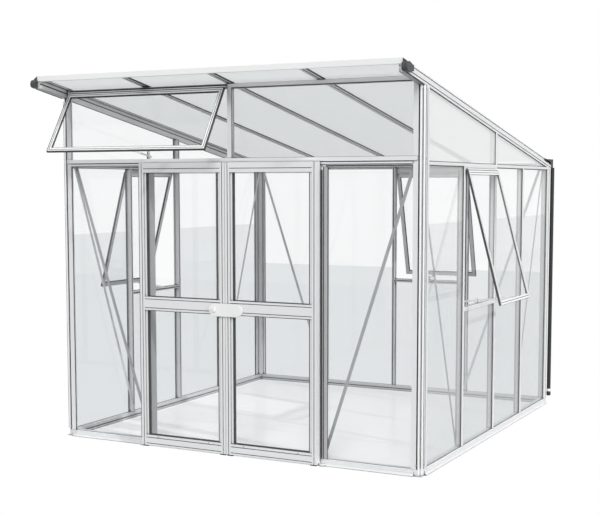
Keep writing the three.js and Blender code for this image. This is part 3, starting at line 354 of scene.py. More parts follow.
def make_moulded(name, rgb, roughness, grain):
    """Moulded plastic or rubber with a fine grain, and painted shade in its hollows."""
    finish = Finish(name)
    place = finish.coordinates()
    fine = finish.noise(place, grain, 3)
    broad = finish.noise(place, 6, 2)
    open_face_colour = finish.between(broad * 0.7 + fine * 0.3, shaded(rgb, 0.92), shaded(rgb, 1.08))
    # Painted shade: the colour goes dark in hollows and joints, where the openness falls.
    groove_shade = finish.step(finish.openness(12 * MM), 0.30, 0.80)
    shader = finish.principled({
        "Base Color": finish.between(groove_shade, shaded(rgb, 0.35), open_face_colour),
        "Roughness": roughness - 0.06 + fine * 0.12,
        "Normal": finish.bump(fine, 0.12, 0.3 * MM),
    })
    return finish.end(shader)


def make_steel(name, rgb):
    """Zinc-bright steel for bolts."""
    finish = Finish(name)
    patches = finish.noise(finish.coordinates(), 160, 3)
    shader = finish.principled({
        "Base Color": finish.between(patches, shaded(rgb, 0.82), shaded(rgb, 1.1)),
        "Metallic": 0.9,
        "Roughness": 0.26 + patches * 0.18,
        "Normal": finish.bump(patches, 0.08, 0.2 * MM),
    })
    return finish.end(shader)


def finished(name):
    """A material made before, by its name."""
    return bpy.data.materials[name]


def hold(piece, body):
    """Lets a piece ride on its body."""
    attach(piece, body)


def mesh_object(name, vertices, faces=(), edges=()):
    mesh = bpy.data.meshes.new(name)
    mesh.from_pydata([tuple(v) for v in vertices], list(edges), list(faces))
    piece = bpy.data.objects.new(name, mesh)
    bpy.context.scene.collection.objects.link(piece)
    return piece


class Arrangement:
    """A geometry tree with named size inputs and one way to add a node. Every piece's tree ends alike."""

    def __init__(self, name, sizes):
        self.tree = bpy.data.node_groups.new(name, "GeometryNodeTree")
        self.tree.interface.new_socket("Geometry", in_out="INPUT", socket_type="NodeSocketGeometry")
        self.sockets = {}
        for label, value in sizes.items():
            socket = self.tree.interface.new_socket(label, in_out="INPUT", socket_type="NodeSocketFloat")
            socket.default_value = value
            self.sockets[label] = socket.identifier
        self.sizes = sizes
        self.tree.interface.new_socket("Geometry", in_out="OUTPUT", socket_type="NodeSocketGeometry")
        self.source = self.tree.nodes.new("NodeGroupInput")

    def given(self, label):
        return self.source.outputs[label]

    def node(self, kind, settings=None, sockets=None, output=0):
        made = self.tree.nodes.new(kind)
        for key, value in (settings or {}).items():
            setattr(made, key, value)
        for key, value in (sockets or {}).items():
            links = value if isinstance(value, list) else [value]
            for link in links:
                if isinstance(link, bpy.types.NodeSocket):
                    self.tree.links.new(link, made.inputs[key])
                else:
                    made.inputs[key].default_value = link
        return made.outputs[output]

    def maths(self, operation, first, second):
        return self.node("ShaderNodeMath", {"operation": operation}, {0: first, 1: second})

    def finish(self, geometry, material):
        whole = self.node("GeometryNodeRealizeInstances", None, {"Geometry": geometry})
        painted = self.node("GeometryNodeSetMaterial", None, {"Geometry": whole, "Material": material})
        out = self.tree.nodes.new("NodeGroupOutput")
        self.tree.links.new(painted, out.inputs[0])

    def bake(self, piece):
        """Runs the tree on a piece, and leaves the result on it as a plain mesh."""
        modifier = piece.modifiers.new("Arrangement", "NODES")
        modifier.node_group = self.tree
        for label, identifier in self.sockets.items():
            modifier[identifier] = self.sizes[label]
        evaluated = piece.evaluated_get(bpy.context.evaluated_depsgraph_get())
        made = bpy.data.meshes.new_from_object(evaluated)
        piece.modifiers.clear()
        piece.data = made
        made.name = piece.name
        return piece


def points_object(name, points):
    """Loose points, each with the way that it faces."""
    piece = mesh_object(name, [place for place, _ in points])
    facing = piece.data.attributes.new("facing", "FLOAT_VECTOR", "POINT")
    for item, (_, way) in zip(facing.data, points):
        item.vector = way
    return piece


def set_on_points(arrangement, shape):
    """Puts a shape on each point, turned the way the point faces."""
    vector = {"data_type": "FLOAT_VECTOR"}
    facing = arrangement.node("GeometryNodeInputNamedAttribute", vector, {"Name": "facing"})
    turn = arrangement.node("FunctionNodeAlignRotationToVector", {"axis": "Z"}, {"Vector": facing})
    sockets = {"Points": arrangement.given("Geometry"), "Instance": shape, "Rotation": turn}
    return arrangement.node("GeometryNodeInstanceOnPoints", None, sockets)


def add_bevelled_box(target, low, high, bevel):
    """Adds a box with worn edges to a bmesh."""
    made = bmesh.ops.create_cube(target, size=1)
    middle = (Vector(low) + Vector(high)) / 2
    span = Vector(high) - Vector(low)
    for vertex in made["verts"]:
        vertex.co = middle + Vector([c * s for c, s in zip(vertex.co, span)])
    edges = {edge for vertex in made["verts"] for edge in vertex.link_edges}
    bmesh.ops.bevel(target, geom=list(edges), offset=bevel, segments=2, affect="EDGES", profile=0.6)


def boxes_piece(name, boxes, material, bevel):
    """One mesh of several boxes with rounded edges."""
    target = bmesh.new()
    for low, high in boxes:
        add_bevelled_box(target, low, high, bevel)
    bmesh.ops.recalc_face_normals(target, faces=target.faces)
    mesh = bpy.data.meshes.new(name)
    target.to_mesh(mesh)
    target.free()
    mesh.materials.append(material)
    piece = bpy.data.objects.new(name, mesh)
    bpy.context.scene.collection.objects.link(piece)
    return piece


def pane_outline(node):
    """The four corners of a pane's outer face, in order, and the way that the face looks."""
    corners = []
    for vertex in NODES[node].data.vertices:
        if all((vertex.co - known).length > 0.1 * MM for known in corners):
            corners.append(vertex.co.copy())
    start = corners[0]
    nearest = min(corners[1:], key=lambda c: (c - start).length)
    across = (nearest - start).normalized()
    low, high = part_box("base_frame")
    centre = (low + high) / 2
    middle = sum(corners, Vector()) / len(corners)
    outward = across if across.dot(Vector((middle.x - centre.x, middle.y - centre.y, 0))) > 0 else -across
    outer = sorted(corners, key=lambda c: c.dot(outward))[-4:]
    middle = sum(outer, Vector()) / 4
    up = Vector((0, 0, 1))
    along = outward.cross(up).normalized()
    rise = along.cross(outward).normalized()
    outer.sort(key=lambda c: math.atan2((c - middle).dot(rise), (c - middle).dot(along)))
    return outer, outward


def drawn_in(corners, outward, inset, lift):
    """Corners moved in from a pane's edges by an inset, and off its face by a lift."""
    moved = []
    count = len(corners)
    for i, corner in enumerate(corners):
        before = (corner - corners[i - 1]).normalized()
        after = (corners[(i + 1) % count] - corner).normalized()
        inwards = [before.cross(outward).normalized(), after.cross(outward).normalized()]
        share = inset / (1 + inwards[0].dot(inwards[1]))
        moved.append(corner + (inwards[0] + inwards[1]) * share + outward * lift)
    return moved


def add_swept(vertices, faces, loops):
    """Adds the skin of a profile swept round a ring. Each loop is the path of one point of the profile."""
    first = len(vertices)
    count = len(loops[0])
    for row, loop in enumerate(loops):
        vertices += loop
        after = (row + 1) % len(loops)
        for i in range(count):
            j = (i + 1) % count
            quad = (row * count + i, row * count + j, after * count + j, after * count + i)
            faces.append(tuple(first + index for index in quad))


def solid_piece(name, vertices, faces, material):
    """A closed mesh whose faces all look outwards."""
    piece = mesh_object(name, vertices, faces)
    target = bmesh.new()
    target.from_mesh(piece.data)
    bmesh.ops.recalc_face_normals(target, faces=target.faces)
    target.to_mesh(piece.data)
    target.free()
    piece.data.materials.append(material)
    return piece


class GREENHOUSE_OT_finishes(bpy.types.Operator):
    """Make the procedural materials and give each carried-over part its own"""

    bl_idname = "greenhouse.finishes"
    bl_label = "Finishes"

    def execute(self, context):
        tones = context.scene.greenhouse_finishes
        self.metals(tones)
        self.sheets(tones)
        self.mouldings(tones)
        plain = {
            "glass": "Glass",
            "opal": "Opal Sheet",
            "dark_plastic": "Dark Plastic",
            "black_plastic": "Black Plastic",
            "white_plastic": "White Plastic",
        }
        # The left and rear walls take the shaded copy of the aluminium, painted shade; the vent's and right
        # window's frames take the lit copy, painted light.
        directions = {
            "post": "Upright",
            "roof": "Fall",
            "front_hood": "Hood",
            "base_frame": "Base",
            "front_wall": "Front",
            "right_wall": "Right",
            "left_wall": "Dull",
            "rear_wall": "Dull",
            "front_vent_frame": "Bright",
            "right_window_frame": "Bright",
        }
        panes = {
            "front_pane": "Front Glass",
            "left_door": "Front Glass",
            "right_door": "Front Glass",
            "left_pane": "Left Glass",
            "rear_pane": "Rear Glass",
            "right_pane": "Right Glass",
            "right_gable": "Gable Glass",
        }
        for name, node in NODES.items():
            material = plain.get(SLOTS[name])
            if material is None:
                way = next((word for start, word in directions.items() if name.startswith(start)), "Plain")
                material = f"Aluminium {way}"
            elif material == "Glass":
                material = next((word for start, word in panes.items() if name.startswith(start)), material)
            node.data.materials.clear()
            node.data.materials.append(finished(material))
        return {"FINISHED"}

    def metals(self, tones):
        """Aluminium for each kind of profile, with shaded and lit copies that are painted shade and painted
        light, and steel for the bolts.
        """
        even, upright, fall, level = (1, 1, 1), (1, 1, 0.02), (1, 0.02, 1), (0.02, 1, 1)
        make_aluminium("Aluminium Upright", tones.aluminium, upright)
        # Painted light: the hood takes the lit copy of the aluminium.
        make_aluminium("Aluminium Hood", tones.lit_aluminium, level)
        make_aluminium("Aluminium Fall", tones.aluminium, fall)
        make_aluminium("Aluminium Plain", tones.aluminium, even)
        # Painted shade: the shaded copy for the left and rear walls.
        make_aluminium("Aluminium Dull", tones.shaded_aluminium, even)
        # Painted light: the lit copy for the vent's and right window's frames.
        make_aluminium("Aluminium Bright", tones.lit_aluminium, even)
        # Painted shade: a dark copy for the jambs, the walls' inner faces and the verge plates.
        make_aluminium("Aluminium Lining Shade", tones.lining, upright)
        # Painted shade: the base frame's left and rear sides and the front and right walls' inner faces take
        # darker copies.
        low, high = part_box("base_frame")
        corner = 90 * MM
        left_edge, rear_edge = low.x + corner, high.y - corner
        sides = (("X", left_edge, left_edge + MM), ("Y", rear_edge, rear_edge - MM))
        front_inside_shade = (("Y", 34 * MM, 30 * MM),)
        right_inside_shade = (("X", HALF_WIDTH - 37 * MM, HALF_WIDTH - 33 * MM),)
        make_aluminium("Aluminium Base", tones.aluminium, even, tones.shaded_aluminium, sides)
        make_aluminium("Aluminium Front", tones.aluminium, even, tones.lining, front_inside_shade)
        make_aluminium("Aluminium Right", tones.aluminium, upright, tones.lining, right_inside_shade)
        make_steel("Bolt Steel", tones.steel)

    def sheets(self, tones):
        """Glass for each wall, with its haze, the haze's painted glow and its steps of painted reflection,
        and the roof's opal sheet.
        """
        faint = 0.006
        make_glass("Glass", tones.glass, faint, 0, ())
        # Painted reflection: each wall's glass goes greyer below its step heights.
        make_glass("Front Glass", tones.glass, faint, 0, ((1.105, 0.12),))
        make_glass("Left Glass", tones.glass, faint, 0, ((1.36, 0.84), (1.09, 0.10)))
        make_glass("Rear Glass", tones.glass, faint, 0, ((1.02, 0.88),))
        # Painted light: the right wall's and gable's panes take the lit tint and a glow.
        make_glass("Right Glass", tones.lit_glass, 0.13, 0.12, ((1.47, 0.82), (1.22, 0.12)))
        make_glass("Gable Glass", tones.lit_glass, 0.42, 0.05, ())
        low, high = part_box("roof_sheet_1")
        flutes = 40
        make_opal("Opal Sheet", tones.opal, (high.x - low.x) / flutes)

    def mouldings(self, tones):
        """Plastics and rubber, each with its roughness and the fineness of its grain."""
        make_moulded("Dark Plastic", tones.dark_plastic, 0.5, 700)
        make_moulded("Black Plastic", tones.black_plastic, 0.52, 700)
        make_moulded("White Plastic", tones.white_plastic, 0.34, 500)
        make_moulded("Seal", tones.seal, 0.62, 900)


class GREENHOUSE_OT_bolts(bpy.types.Operator):
    """Set bolt heads on the braces, the posts and the doors"""

    bl_idname = "greenhouse.bolts"
    bl_label = "Bolts"

    def execute(self, context):
        sizes = context.scene.greenhouse_sizes
        for body, points in self.places().items():
            piece = points_object(f"bolts_{body}", points)
            tree = Arrangement(f"Bolts {body}", {
                "Head Radius": sizes.bolt_radius,
                "Head Height": sizes.bolt_height,
            })
            radius = tree.given("Head Radius")
            height = tree.given("Head Height")
            sides = 14
            washer = tree.node("GeometryNodeMeshCylinder", None, {
                "Vertices": sides,
                "Radius": radius,
                "Depth": tree.maths("MULTIPLY", height, 0.5),
            })
            head = tree.node("GeometryNodeMeshCone", None, {
                "Vertices": sides,
                "Radius Bottom": tree.maths("MULTIPLY", radius, 0.74),
                "Radius Top": tree.maths("MULTIPLY", radius, 0.5),
                "Depth": tree.maths("MULTIPLY", height, 0.75),
            })
            lift = tree.node("ShaderNodeCombineXYZ", None, {"Z": tree.maths("MULTIPLY", height, 0.24)})
            raised = tree.node("GeometryNodeTransform", None, {"Geometry": head, "Translation": lift})
            shape = tree.node("GeometryNodeJoinGeometry", None, {"Geometry": [raised, washer]})
            tree.finish(set_on_points(tree, shape), finished("Bolt Steel"))
            hold(tree.bake(piece), body)
        return {"FINISHED"}

    def places(self):
        """Every bolt's place and the way it faces, by body."""
        front = Vector((0, -1, 0))
        house = []
        rail, head = 1.14, 1.838
        post_middle = HALF_WIDTH - 35 * MM
        for side in (-1, 1):
            for height in (70 * MM, rail, head):
                house.append((Vector((side * HALF_WIDTH, 38 * MM, height)), Vector((side, 0, 0))))
            for height in (head, 66 * MM):
                house.append((Vector((side * post_middle, 0, height)), front))
        house += self.brace_bolts()
        places = {"house": house}
        corner = 18 * MM
        for door in ("left_door", "right_door"):
            low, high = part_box(f"{door}_frame")
            bolts = [
                (x, height)
                for x in (low.x + corner, high.x - corner)
                for height in (low.z + 14 * MM, low.z + 46 * MM, high.z - corner)
            ]
            bolts += [(low.x + share * (high.x - low.x), low.z + 60 * MM) for share in (0.2, 0.8)]
            places[door] = [(Vector((x, low.y, height)), front) for x, height in bolts]
        return places

    def brace_bolts(self):
        """Where the braces are bolted to the bars, on the inner faces of the walls."""
        front, rear = Vector((0, -1, 0)), Vector((0, 1, 0))
        bolts = []
        side_ends = ((74 * MM, 1.792), (0.692, 74 * MM))
        for side in (-1, 1):
            inner = side * (HALF_WIDTH - 47 * MM)
            for start, way in ((0, 1), (DEPTH, -1)):
                for y, z in side_ends:
                    bolts.append((Vector((inner, start + way * y, z)), Vector((-side, 0, 0))))
        wall = 46 * MM
        foot, head = 62 * MM, 1.80
        corner = HALF_WIDTH - 66 * MM
        for side in (-1, 1):
            bolts.append((Vector((side * corner, DEPTH - wall, head)), front))
        for side in (-1, 1):
            bolts.append((Vector((side * BAR_SPACING, DEPTH - wall, foot)), front))
            bolts.append((Vector((side * BAR_SPACING, wall, foot)), rear))
        return bolts


class GREENHOUSE_OT_seals(bpy.types.Operator):
    """Run seal beads round the panes and beside the roof bars, and cords down the front posts"""

    bl_idname = "greenhouse.seals"
    bl_label = "Glazing seals"

    def execute(self, context):
        sizes = context.scene.greenhouse_sizes
        insets = {"house": 6 * MM, "left_door": 7 * MM, "right_door": 7 * MM}
        for body, inset in insets.items():
            panes = [name for name in BODIES[body] if SLOTS[name] == "glass"]
            ways = []
            for name in panes:
                corners, outward = pane_outline(name)
                loop = drawn_in(corners, outward, inset, sizes.seal_radius * 0.4)
                ways.append((*loop, loop[0]))
            self.beads(f"seals_{body}", body, ways, sizes.seal_radius)
        self.beads("seals_roof", "house", self.roof_ways(sizes.roof_seal_radius), sizes.roof_seal_radius)
        foot, head = 50 * MM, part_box("post_front_right")[1].z - 70 * MM
        places = ((HALF_WIDTH - 6 * MM, 4.5 * MM), (HALF_WIDTH + 0.3 * MM, 51 * MM))
        cords = [
            (Vector((side * x, y, foot)), Vector((side * x, y, head))) for x, y in places for side in (-1, 1)
        ]
        self.beads("post_cords", "house", cords, sizes.cord_radius)
        return {"FINISHED"}

    def roof_ways(self, radius):
        """Where the beads run beside the roof bars, and under the roof edge bars out over the front."""
        ways = []
        front_gap, rear_gap = 4 * MM, 8 * MM
        for name in (name for name in NODES if name.startswith("roof_bar")):
            low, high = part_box(name)
            depth = self.bar_depth(name)
            for x in (low.x - radius, high.x + radius):
                front = Vector((x, low.y + front_gap, high.z - depth + radius))
                ways.append((front, Vector((x, high.y - rear_gap, low.z + radius))))
        fall = (ways[0][0] - ways[0][1]).normalized()
        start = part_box("roof_bar_1")[0].y + front_gap
        overhang = 0.26
        for side in (-1, 1):
            front = Vector((side * (HALF_WIDTH - 3 * MM), start, EDGE_UNDERSIDE - 1.9 * MM))
            ways.append((front, front - fall * overhang))
        return ways

    def bar_depth(self, name):
        """How deep a roof bar is at its front end."""
        low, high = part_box(name)
        front = [vertex.co.z for vertex in NODES[name].data.vertices if vertex.co.y < low.y + 20 * MM]
        return high.z - min(front)

    def beads(self, name, body, ways, radius):
        """Beads along ways, each a run of corners. A way that ends where it starts is a ring."""
        vertices, edges = [], []
        for way in ways:
            first = len(vertices)
            ring = way[0] == way[-1]
            corners = way[:-1] if ring else way
            count = len(corners)
            vertices += corners
            edges += [(first + i, first + (i + 1) % count) for i in range(count if ring else count - 1)]
        piece = mesh_object(name, vertices, edges=edges)
        tree = Arrangement(name, {"Bead Radius": radius})
        path = tree.node("GeometryNodeMeshToCurve", None, {"Mesh": tree.given("Geometry")})
        profile = tree.node("GeometryNodeCurvePrimitiveCircle", None,
                            {"Resolution": 6, "Radius": tree.given("Bead Radius")})
        bead = tree.node("GeometryNodeCurveToMesh", None, {"Curve": path, "Profile Curve": profile})
        tree.finish(bead, finished("Seal"))
        hold(tree.bake(piece), body)


class GREENHOUSE_OT_gaskets(bpy.types.Operator):
    """Run rubber round the windows' edges and grooves, and into the reveals of windows and doors"""

    bl_idname = "greenhouse.gaskets"
    bl_label = "Gaskets"

    def execute(self, context):
        # Each point of a profile is how far it lies in from the pane's edge and off its face, in millimetres.
        edge = [(-18.2, -9.2), (-18.2, 5.2), (-19.8, 5.2), (-19.8, -9.2)]
        groove = [(-6.8, 2.1), (-6.8, 5.2), (-3.2, 5.2), (-3.2, 2.1)]
        lip = [(-18.2, -9.2), (-18.2, 5.3), (-15.0, 5.3), (-15.0, 6.3), (-19.8, 6.3), (-19.8, -9.2)]
        front_reveal = [(8.2, 0.2), (14.0, 0.2), (9.6, 5.0), (8.2, 5.0)]
        back_reveal = [(8.2, -4.2), (14.0, -4.2), (9.6, -9.0), (8.2, -9.0)]
        door = [
            [(10.2, 0.2), (13.0, 0.2), (11.4, 7.0), (10.2, 7.0)],
            [(10.2, -4.2), (13.0, -4.2), (11.4, -21.0), (10.2, -21.0)],
        ]
        for body, members in BODIES.items():
            panes = [name for name in members if SLOTS[name] == "glass"]
            if body == "house" or not panes:
                continue
            if body.endswith("door"):
                profiles = door
            elif body == "right_window":
                profiles = [edge, groove]
            elif body == "front_vent":
                profiles = [lip, groove, front_reveal, back_reveal]
            else:
                profiles = [edge, groove, front_reveal, back_reveal]
            vertices, faces = [], []
            for name in panes:
                corners, outward = pane_outline(name)
                for profile in profiles:
                    loops = [drawn_in(corners, outward, inset * MM, lift * MM) for inset, lift in profile]
                    add_swept(vertices, faces, loops)
            piece = solid_piece(f"gaskets_{body}", vertices, faces, finished("Seal"))
            hold(piece, body)
        return {"FINISHED"}


class GREENHOUSE_OT_brushes(bpy.types.Operator):
    """Fill the jambs' grooves with brush strips"""

    bl_idname = "greenhouse.brushes"
    bl_label = "Brush strips"

    def execute(self, context):
        sizes = context.scene.greenhouse_sizes
        low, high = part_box("right_door_frame")
        foot, head = low.z + 36 * MM, high.z - 44 * MM
        count = int((head - foot) / sizes.bristle_pitch)
        apart, depth = 1.2 * MM, 4.6 * MM
        points = []
        for side in (-1, 1):
            for i in range(count):
                for row in (-1, 1):
                    x = side * (high.x + JAMB_GROOVE) + row * apart
                    z = foot + (i + 0.25 * row) * sizes.bristle_pitch
                    points.append((Vector((x, depth, z)), Vector((0, -1, 0))))
        piece = points_object("jamb_brushes", points)
        tree = Arrangement("Jamb Brushes", {"Bristle Length": sizes.bristle_length})
        reach = tree.given("Bristle Length")
        tuft = tree.node("GeometryNodeMeshCone", {"fill_type": "NGON"}, {
            "Vertices": 4,
            "Radius Bottom": 1.9 * MM,
            "Radius Top": 2.6 * MM,
            "Depth": reach,
        })
        tree.finish(set_on_points(tree, tuft), finished("Seal"))
        hold(tree.bake(piece), "house")
        return {"FINISHED"}


class GREENHOUSE_OT_rollers(bpy.types.Operator):
    """Set the doors' rollers on the track beside their hangers"""

    bl_idname = "greenhouse.rollers"
    bl_label = "Door rollers"

    def execute(self, context):
        sizes = context.scene.greenhouse_sizes
        outer, inner = 80 * MM, 110 * MM
        axle_y, axle_drop = -2.9 * MM, 5.6 * MM
        for door in ("left_door", "right_door"):
            low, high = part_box(f"{door}_frame")
            points = [
                (Vector((x, axle_y, high.z - axle_drop)), Vector((0, -1, 0)))
                for x in (low.x + outer, low.x + inner, high.x - inner, high.x - outer)
            ]
            piece = points_object(f"rollers_{door}", points)
            tree = Arrangement(f"Rollers {door}", {
                "Roller Radius": sizes.roller_radius,
                "Roller Width": sizes.roller_width,
            })
            wheel = tree.node("GeometryNodeMeshCylinder", None, {
                "Vertices": 20,
                "Radius": tree.given("Roller Radius"),
                "Depth": tree.given("Roller Width"),
            })
            tree.finish(set_on_points(tree, wheel), finished("Black Plastic"))
            hold(tree.bake(piece), door)
        return {"FINISHED"}


class GREENHOUSE_OT_mouldings(bpy.types.Operator):
    """Add the plugs, pads, stops, jamb strips, verge plates of painted shade, drip seal and the downpipe's
    white ring
    """

    bl_idname = "greenhouse.mouldings"
    bl_label = "Plugs, pads and trims"

    def execute(self, context):
        self.moulding("groove_plugs", self.plugs(), 0.8 * MM)
        for door in ("left_door", "right_door"):
            self.moulding(f"pads_{door}", self.pads(door), 1.2 * MM, body=door)
        self.moulding("track_stops", self.stops(), 1 * MM)
        self.jamb_strips()
        vent_left, vent_right, foot = -1.213, -15 * MM, 2.2912
        drip = [((vent_left, -9 * MM, foot), (vent_right, -0.3 * MM, foot + 9 * MM))]
        self.moulding("vent_drip_seal", drip, 1 * MM)
        # Dark plates under the roof edge bars: painted shade.
        for side, name in ((-1, "left"), (1, "right")):
            hold(self.verge_shade_plate(f"verge_trim_{name}", side), "house")
        self.ring()
        return {"FINISHED"}

    def moulding(self, name, boxes, bevel, finish="Black Plastic", body="house", slot="black_plastic"):
        hold(boxes_piece(name, boxes, finished(finish), bevel), body)

    def plugs(self):
        """The plugs in the feet of the corner posts' two grooves."""
        foot, head = 42.6 * MM, 56 * MM
        deep, near = 29 * MM, 6 * MM
        narrow, wide = 4 * MM, 5.6 * MM
        plugs = []
        for x_side in (-1, 1):
            for y_side, end in ((-1, "front"), (1, "rear")):
                low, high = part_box(f"post_{end}_{'right' if x_side > 0 else 'left'}")
                outer_x = high.x if x_side > 0 else low.x
                outer_y = high.y if y_side > 0 else low.y
                for x_in, y_in, half_x, half_y in ((deep, near, narrow, wide), (near, deep, wide, narrow)):
                    x = outer_x - x_side * x_in
                    y = outer_y - y_side * y_in
                    plugs.append(((x - half_x, y - half_y, foot), (x + half_x, y + half_y, head)))
        return plugs

    def pads(self, door):
        """The pads under a door leaf's two ends."""
        low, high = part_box(f"{door}_frame")
        inset, width, drop = 4 * MM, 42 * MM, 8 * MM
        return [
            ((x, low.y + 3 * MM, low.z - drop), (x + width, low.y + 15 * MM, low.z + 0.4 * MM))
            for x in (low.x + inset, high.x - inset - width)
        ]

    def stops(self):
        """The stops at the two ends of the doorway's track."""
        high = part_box("right_door_frame")[1]
        middle, half = high.x + JAMB_GROOVE, 5 * MM
        return [
            ((side * middle - half, -11.6 * MM, high.z - 11.2 * MM), (side * middle + half, -1 * MM, high.z))
            for side in (-1, 1)
        ]

    def jamb_strips(self):
        """Thin strips on the jambs. Each has, in millimetres, its middle and half width across the doorway
        and its front and back."""
        sill, head = 45 * MM, 1.795
        # The linings and flanges take the dark lining tone, painted shade.
        strips = {
            "jamb_linings": ("Aluminium Lining Shade", 606, 5.6, 3, 69),
            "jamb_covers": ("Aluminium Upright", 639, 5.6, -3, -0.3),
            "jamb_cords": ("Seal", 648, 3.4, -3, -0.3),
            "jamb_flanges": ("Aluminium Lining Shade", 662, 12, -2, -0.2),
            "jamb_flange_edges": ("Seal", 676, 1.6, -2, -0.2),
        }
        for name, (finish, *places) in strips.items():
            middle, half, front, back = (place * MM for place in places)
            boxes = [
                ((side * middle - half, front, sill), (side * middle + half, back, head)) for side in (-1, 1)
            ]
            slot = "black_plastic" if finish == "Seal" else "aluminium"
            self.moulding(name, boxes, 0.5 * MM, finish, slot=slot)

    def verge_shade_plate(self, name, side):
        """A thin dark plate under a roof edge bar, where it runs out over the front: painted shade."""
        bar_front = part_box("roof_bar_1")[0].y
        sheet_low, sheet_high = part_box("roof_sheet_1")
        thickness = 6 * MM
        fall = (sheet_high.z - sheet_low.z - thickness) / (sheet_high.y - sheet_low.y)
        inner, outer = HALF_WIDTH - 41.5 * MM, HALF_WIDTH - 10.5 * MM
        front, back = bar_front + 4 * MM, -4 * MM
        corners = []
        for drop in (0.2 * MM, 1.4 * MM):
            for x, y in ((inner, front), (outer, front), (outer, back), (inner, back)):
                corners.append(Vector((side * x, y, EDGE_UNDERSIDE - fall * (y - bar_front) - drop)))
        faces = [(0, 1, 2, 3), (7, 6, 5, 4)] + [(i, i + 4, (i + 1) % 4 + 4, (i + 1) % 4) for i in range(4)]
        return solid_piece(name, corners, faces, finished("Aluminium Lining Shade"))

    def ring(self):
        """A white band round the downpipe above its ball foot."""
        centre = Vector((1.279, 2.700, 0))
        sides = 32
        turns = [2 * math.pi * i / sides for i in range(sides)]
        circle = [Vector((math.cos(turn), math.sin(turn), 0)) for turn in turns]
        profile = [(14.3, 80.4), (15.2, 81.5), (15.2, 98.5), (14.3, 99.6)]
        loops = [
            [centre + (way * radius + Vector((0, 0, height))) * MM for way in circle]
            for radius, height in profile
        ]
        vertices, faces = [], []
        add_swept(vertices, faces, loops)
        piece = solid_piece("downpipe_ring", vertices, faces, finished("White Plastic"))
        hold(piece, "house")


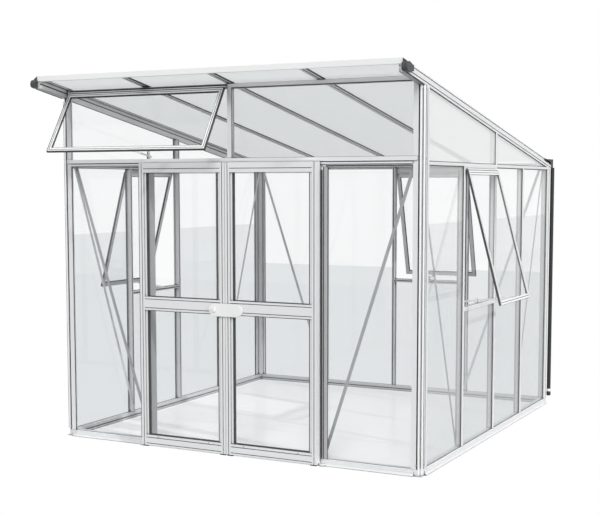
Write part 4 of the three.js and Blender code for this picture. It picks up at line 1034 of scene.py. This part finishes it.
class GREENHOUSE_OT_stage(bpy.types.Operator):
    """Lay the pale floor, hang the lamps and set up the camera"""

    bl_idname = "greenhouse.stage"
    bl_label = "Stage"

    def execute(self, context):
        stage = context.scene.greenhouse_stage
        context.scene.view_settings.view_transform = "Standard"
        lights = {
            "Key Light": (stage.key_strength, stage.softness, Vector((0.30, -0.80, 0.56))),
            "Fill Light": (stage.fill_strength, stage.fill_width, Vector((0.86, -0.22, 0.50))),
            "Top Light": (stage.top_strength, stage.softness, Vector((-0.15, 0.10, 1.0))),
        }
        level = stage.world_strength
        for name, (strength, spread, way) in lights.items():
            self.light(name, strength, spread, way.normalized())
            level += strength * way.normalized().z / math.pi
        self.world(context, stage)
        self.floor(stage, level)
        self.camera(context, stage)
        return {"FINISHED"}

    def floor(self, stage, level):
        """A white floor that shows shadows and a faint polish only inside the house. The level is the light
        that falls on an open floor."""
        reach = 60
        corners = [(-reach, -reach, 0), (reach, -reach, 0), (reach, reach, 0), (-reach, reach, 0)]
        floor = mesh_object("floor", corners, [(0, 1, 2, 3)])
        finish = Finish("Floor")
        share = stage.shadow_share / level
        plain = finish.node("ShaderNodeBsdfDiffuse", None, {"Color": (stage.bounce,) * 3 + (1,)})
        shade = finish.node("ShaderNodeBsdfDiffuse", None, {"Color": (share, share, share, 1)})
        glow = finish.node("ShaderNodeEmission", None, {"Color": WHITE, "Strength": 1 - stage.shadow_share})
        polish = finish.node("ShaderNodeBsdfGlossy", None, {"Color": WHITE, "Roughness": 0.12})
        inside = finish.mixed(0.10, finish.node("ShaderNodeAddShader", None, {0: shade, 1: glow}), polish)
        white = finish.node("ShaderNodeEmission", None, {"Color": WHITE, "Strength": 1})
        place = finish.coordinates()
        low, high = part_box("base_frame")
        rim = 60 * MM
        within = 1
        for axis in ("X", "Y"):
            along = finish.axis(place, axis)
            start, end = getattr(low, axis.lower()), getattr(high, axis.lower())
            within = finish.step(along, start, start + rim) * finish.step(along, end, end - rim) * within
        seen = finish.mixed(within, white, inside)
        floor.data.materials.append(finish.end(finish.mixed(finish.seen(), plain, seen)))

    def world(self, context, stage):
        """A world that is white to the camera and dimmer for the light that it gives."""
        finish = Finish("Studio", "worlds")
        even = finish.node("ShaderNodeBackground", None, {"Color": WHITE, "Strength": stage.world_strength})
        white = finish.node("ShaderNodeBackground", None, {"Color": WHITE, "Strength": 1})
        context.scene.world = finish.end(finish.mixed(finish.seen(), even, white), "ShaderNodeOutputWorld")

    def light(self, name, strength, spread, way):
        """A far light that comes from the given way, and looks as wide as its spread."""
        data = bpy.data.lights.new(name, "SUN")
        data.energy = strength
        data.angle = spread
        lamp = bpy.data.objects.new(name, data)
        lamp.rotation_euler = (-way).to_track_quat("-Z", "Y").to_euler()
        bpy.context.scene.collection.objects.link(lamp)

    def camera(self, context, stage):
        data = bpy.data.cameras.new("Camera")
        data.sensor_width = 36
        data.lens = stage.lens
        data.shift_x = -0.01865
        data.shift_y = 0.0515
        data.clip_end = 200
        camera = bpy.data.objects.new("Camera", data)
        camera.location = stage.camera_place
        camera.rotation_euler = (math.radians(90) - stage.camera_dip, 0, stage.camera_turn)
        context.scene.collection.objects.link(camera)
        context.scene.camera = camera


STEPS = (
    GREENHOUSE_OT_finishes,
    GREENHOUSE_OT_bolts,
    GREENHOUSE_OT_seals,
    GREENHOUSE_OT_gaskets,
    GREENHOUSE_OT_brushes,
    GREENHOUSE_OT_rollers,
    GREENHOUSE_OT_mouldings,
    GREENHOUSE_OT_stage,
)


class GREENHOUSE_PT_panel(bpy.types.Panel):
    """Lists the greenhouse's settings and steps"""

    bl_label = "Greenhouse"
    bl_idname = "GREENHOUSE_PT_panel"
    bl_space_type = "VIEW_3D"
    bl_region_type = "UI"
    bl_category = "Greenhouse"

    def draw(self, context):
        layout = self.layout
        for group in ("greenhouse_finishes", "greenhouse_sizes", "greenhouse_stage"):
            settings = getattr(context.scene, group)
            box = layout.box()
            for name in settings.__annotations__:
                box.prop(settings, name)
        for step in STEPS:
            layout.operator(step.bl_idname)


CLASSES = (GreenhouseFinishes, GreenhouseSizes, GreenhouseStage, *STEPS, GREENHOUSE_PT_panel)


def register():
    for entry in CLASSES:
        bpy.utils.register_class(entry)
    bpy.types.Scene.greenhouse_finishes = bpy.props.PointerProperty(type=GreenhouseFinishes)
    bpy.types.Scene.greenhouse_sizes = bpy.props.PointerProperty(type=GreenhouseSizes)
    bpy.types.Scene.greenhouse_stage = bpy.props.PointerProperty(type=GreenhouseStage)


def unregister():
    del bpy.types.Scene.greenhouse_stage
    del bpy.types.Scene.greenhouse_sizes
    del bpy.types.Scene.greenhouse_finishes
    for entry in reversed(CLASSES):
        bpy.utils.unregister_class(entry)


def main():
    register()
    for step in STEPS:
        group, name = step.bl_idname.split(".")
        getattr(getattr(bpy.ops, group), name)()


if __name__ == "__main__":
    main()
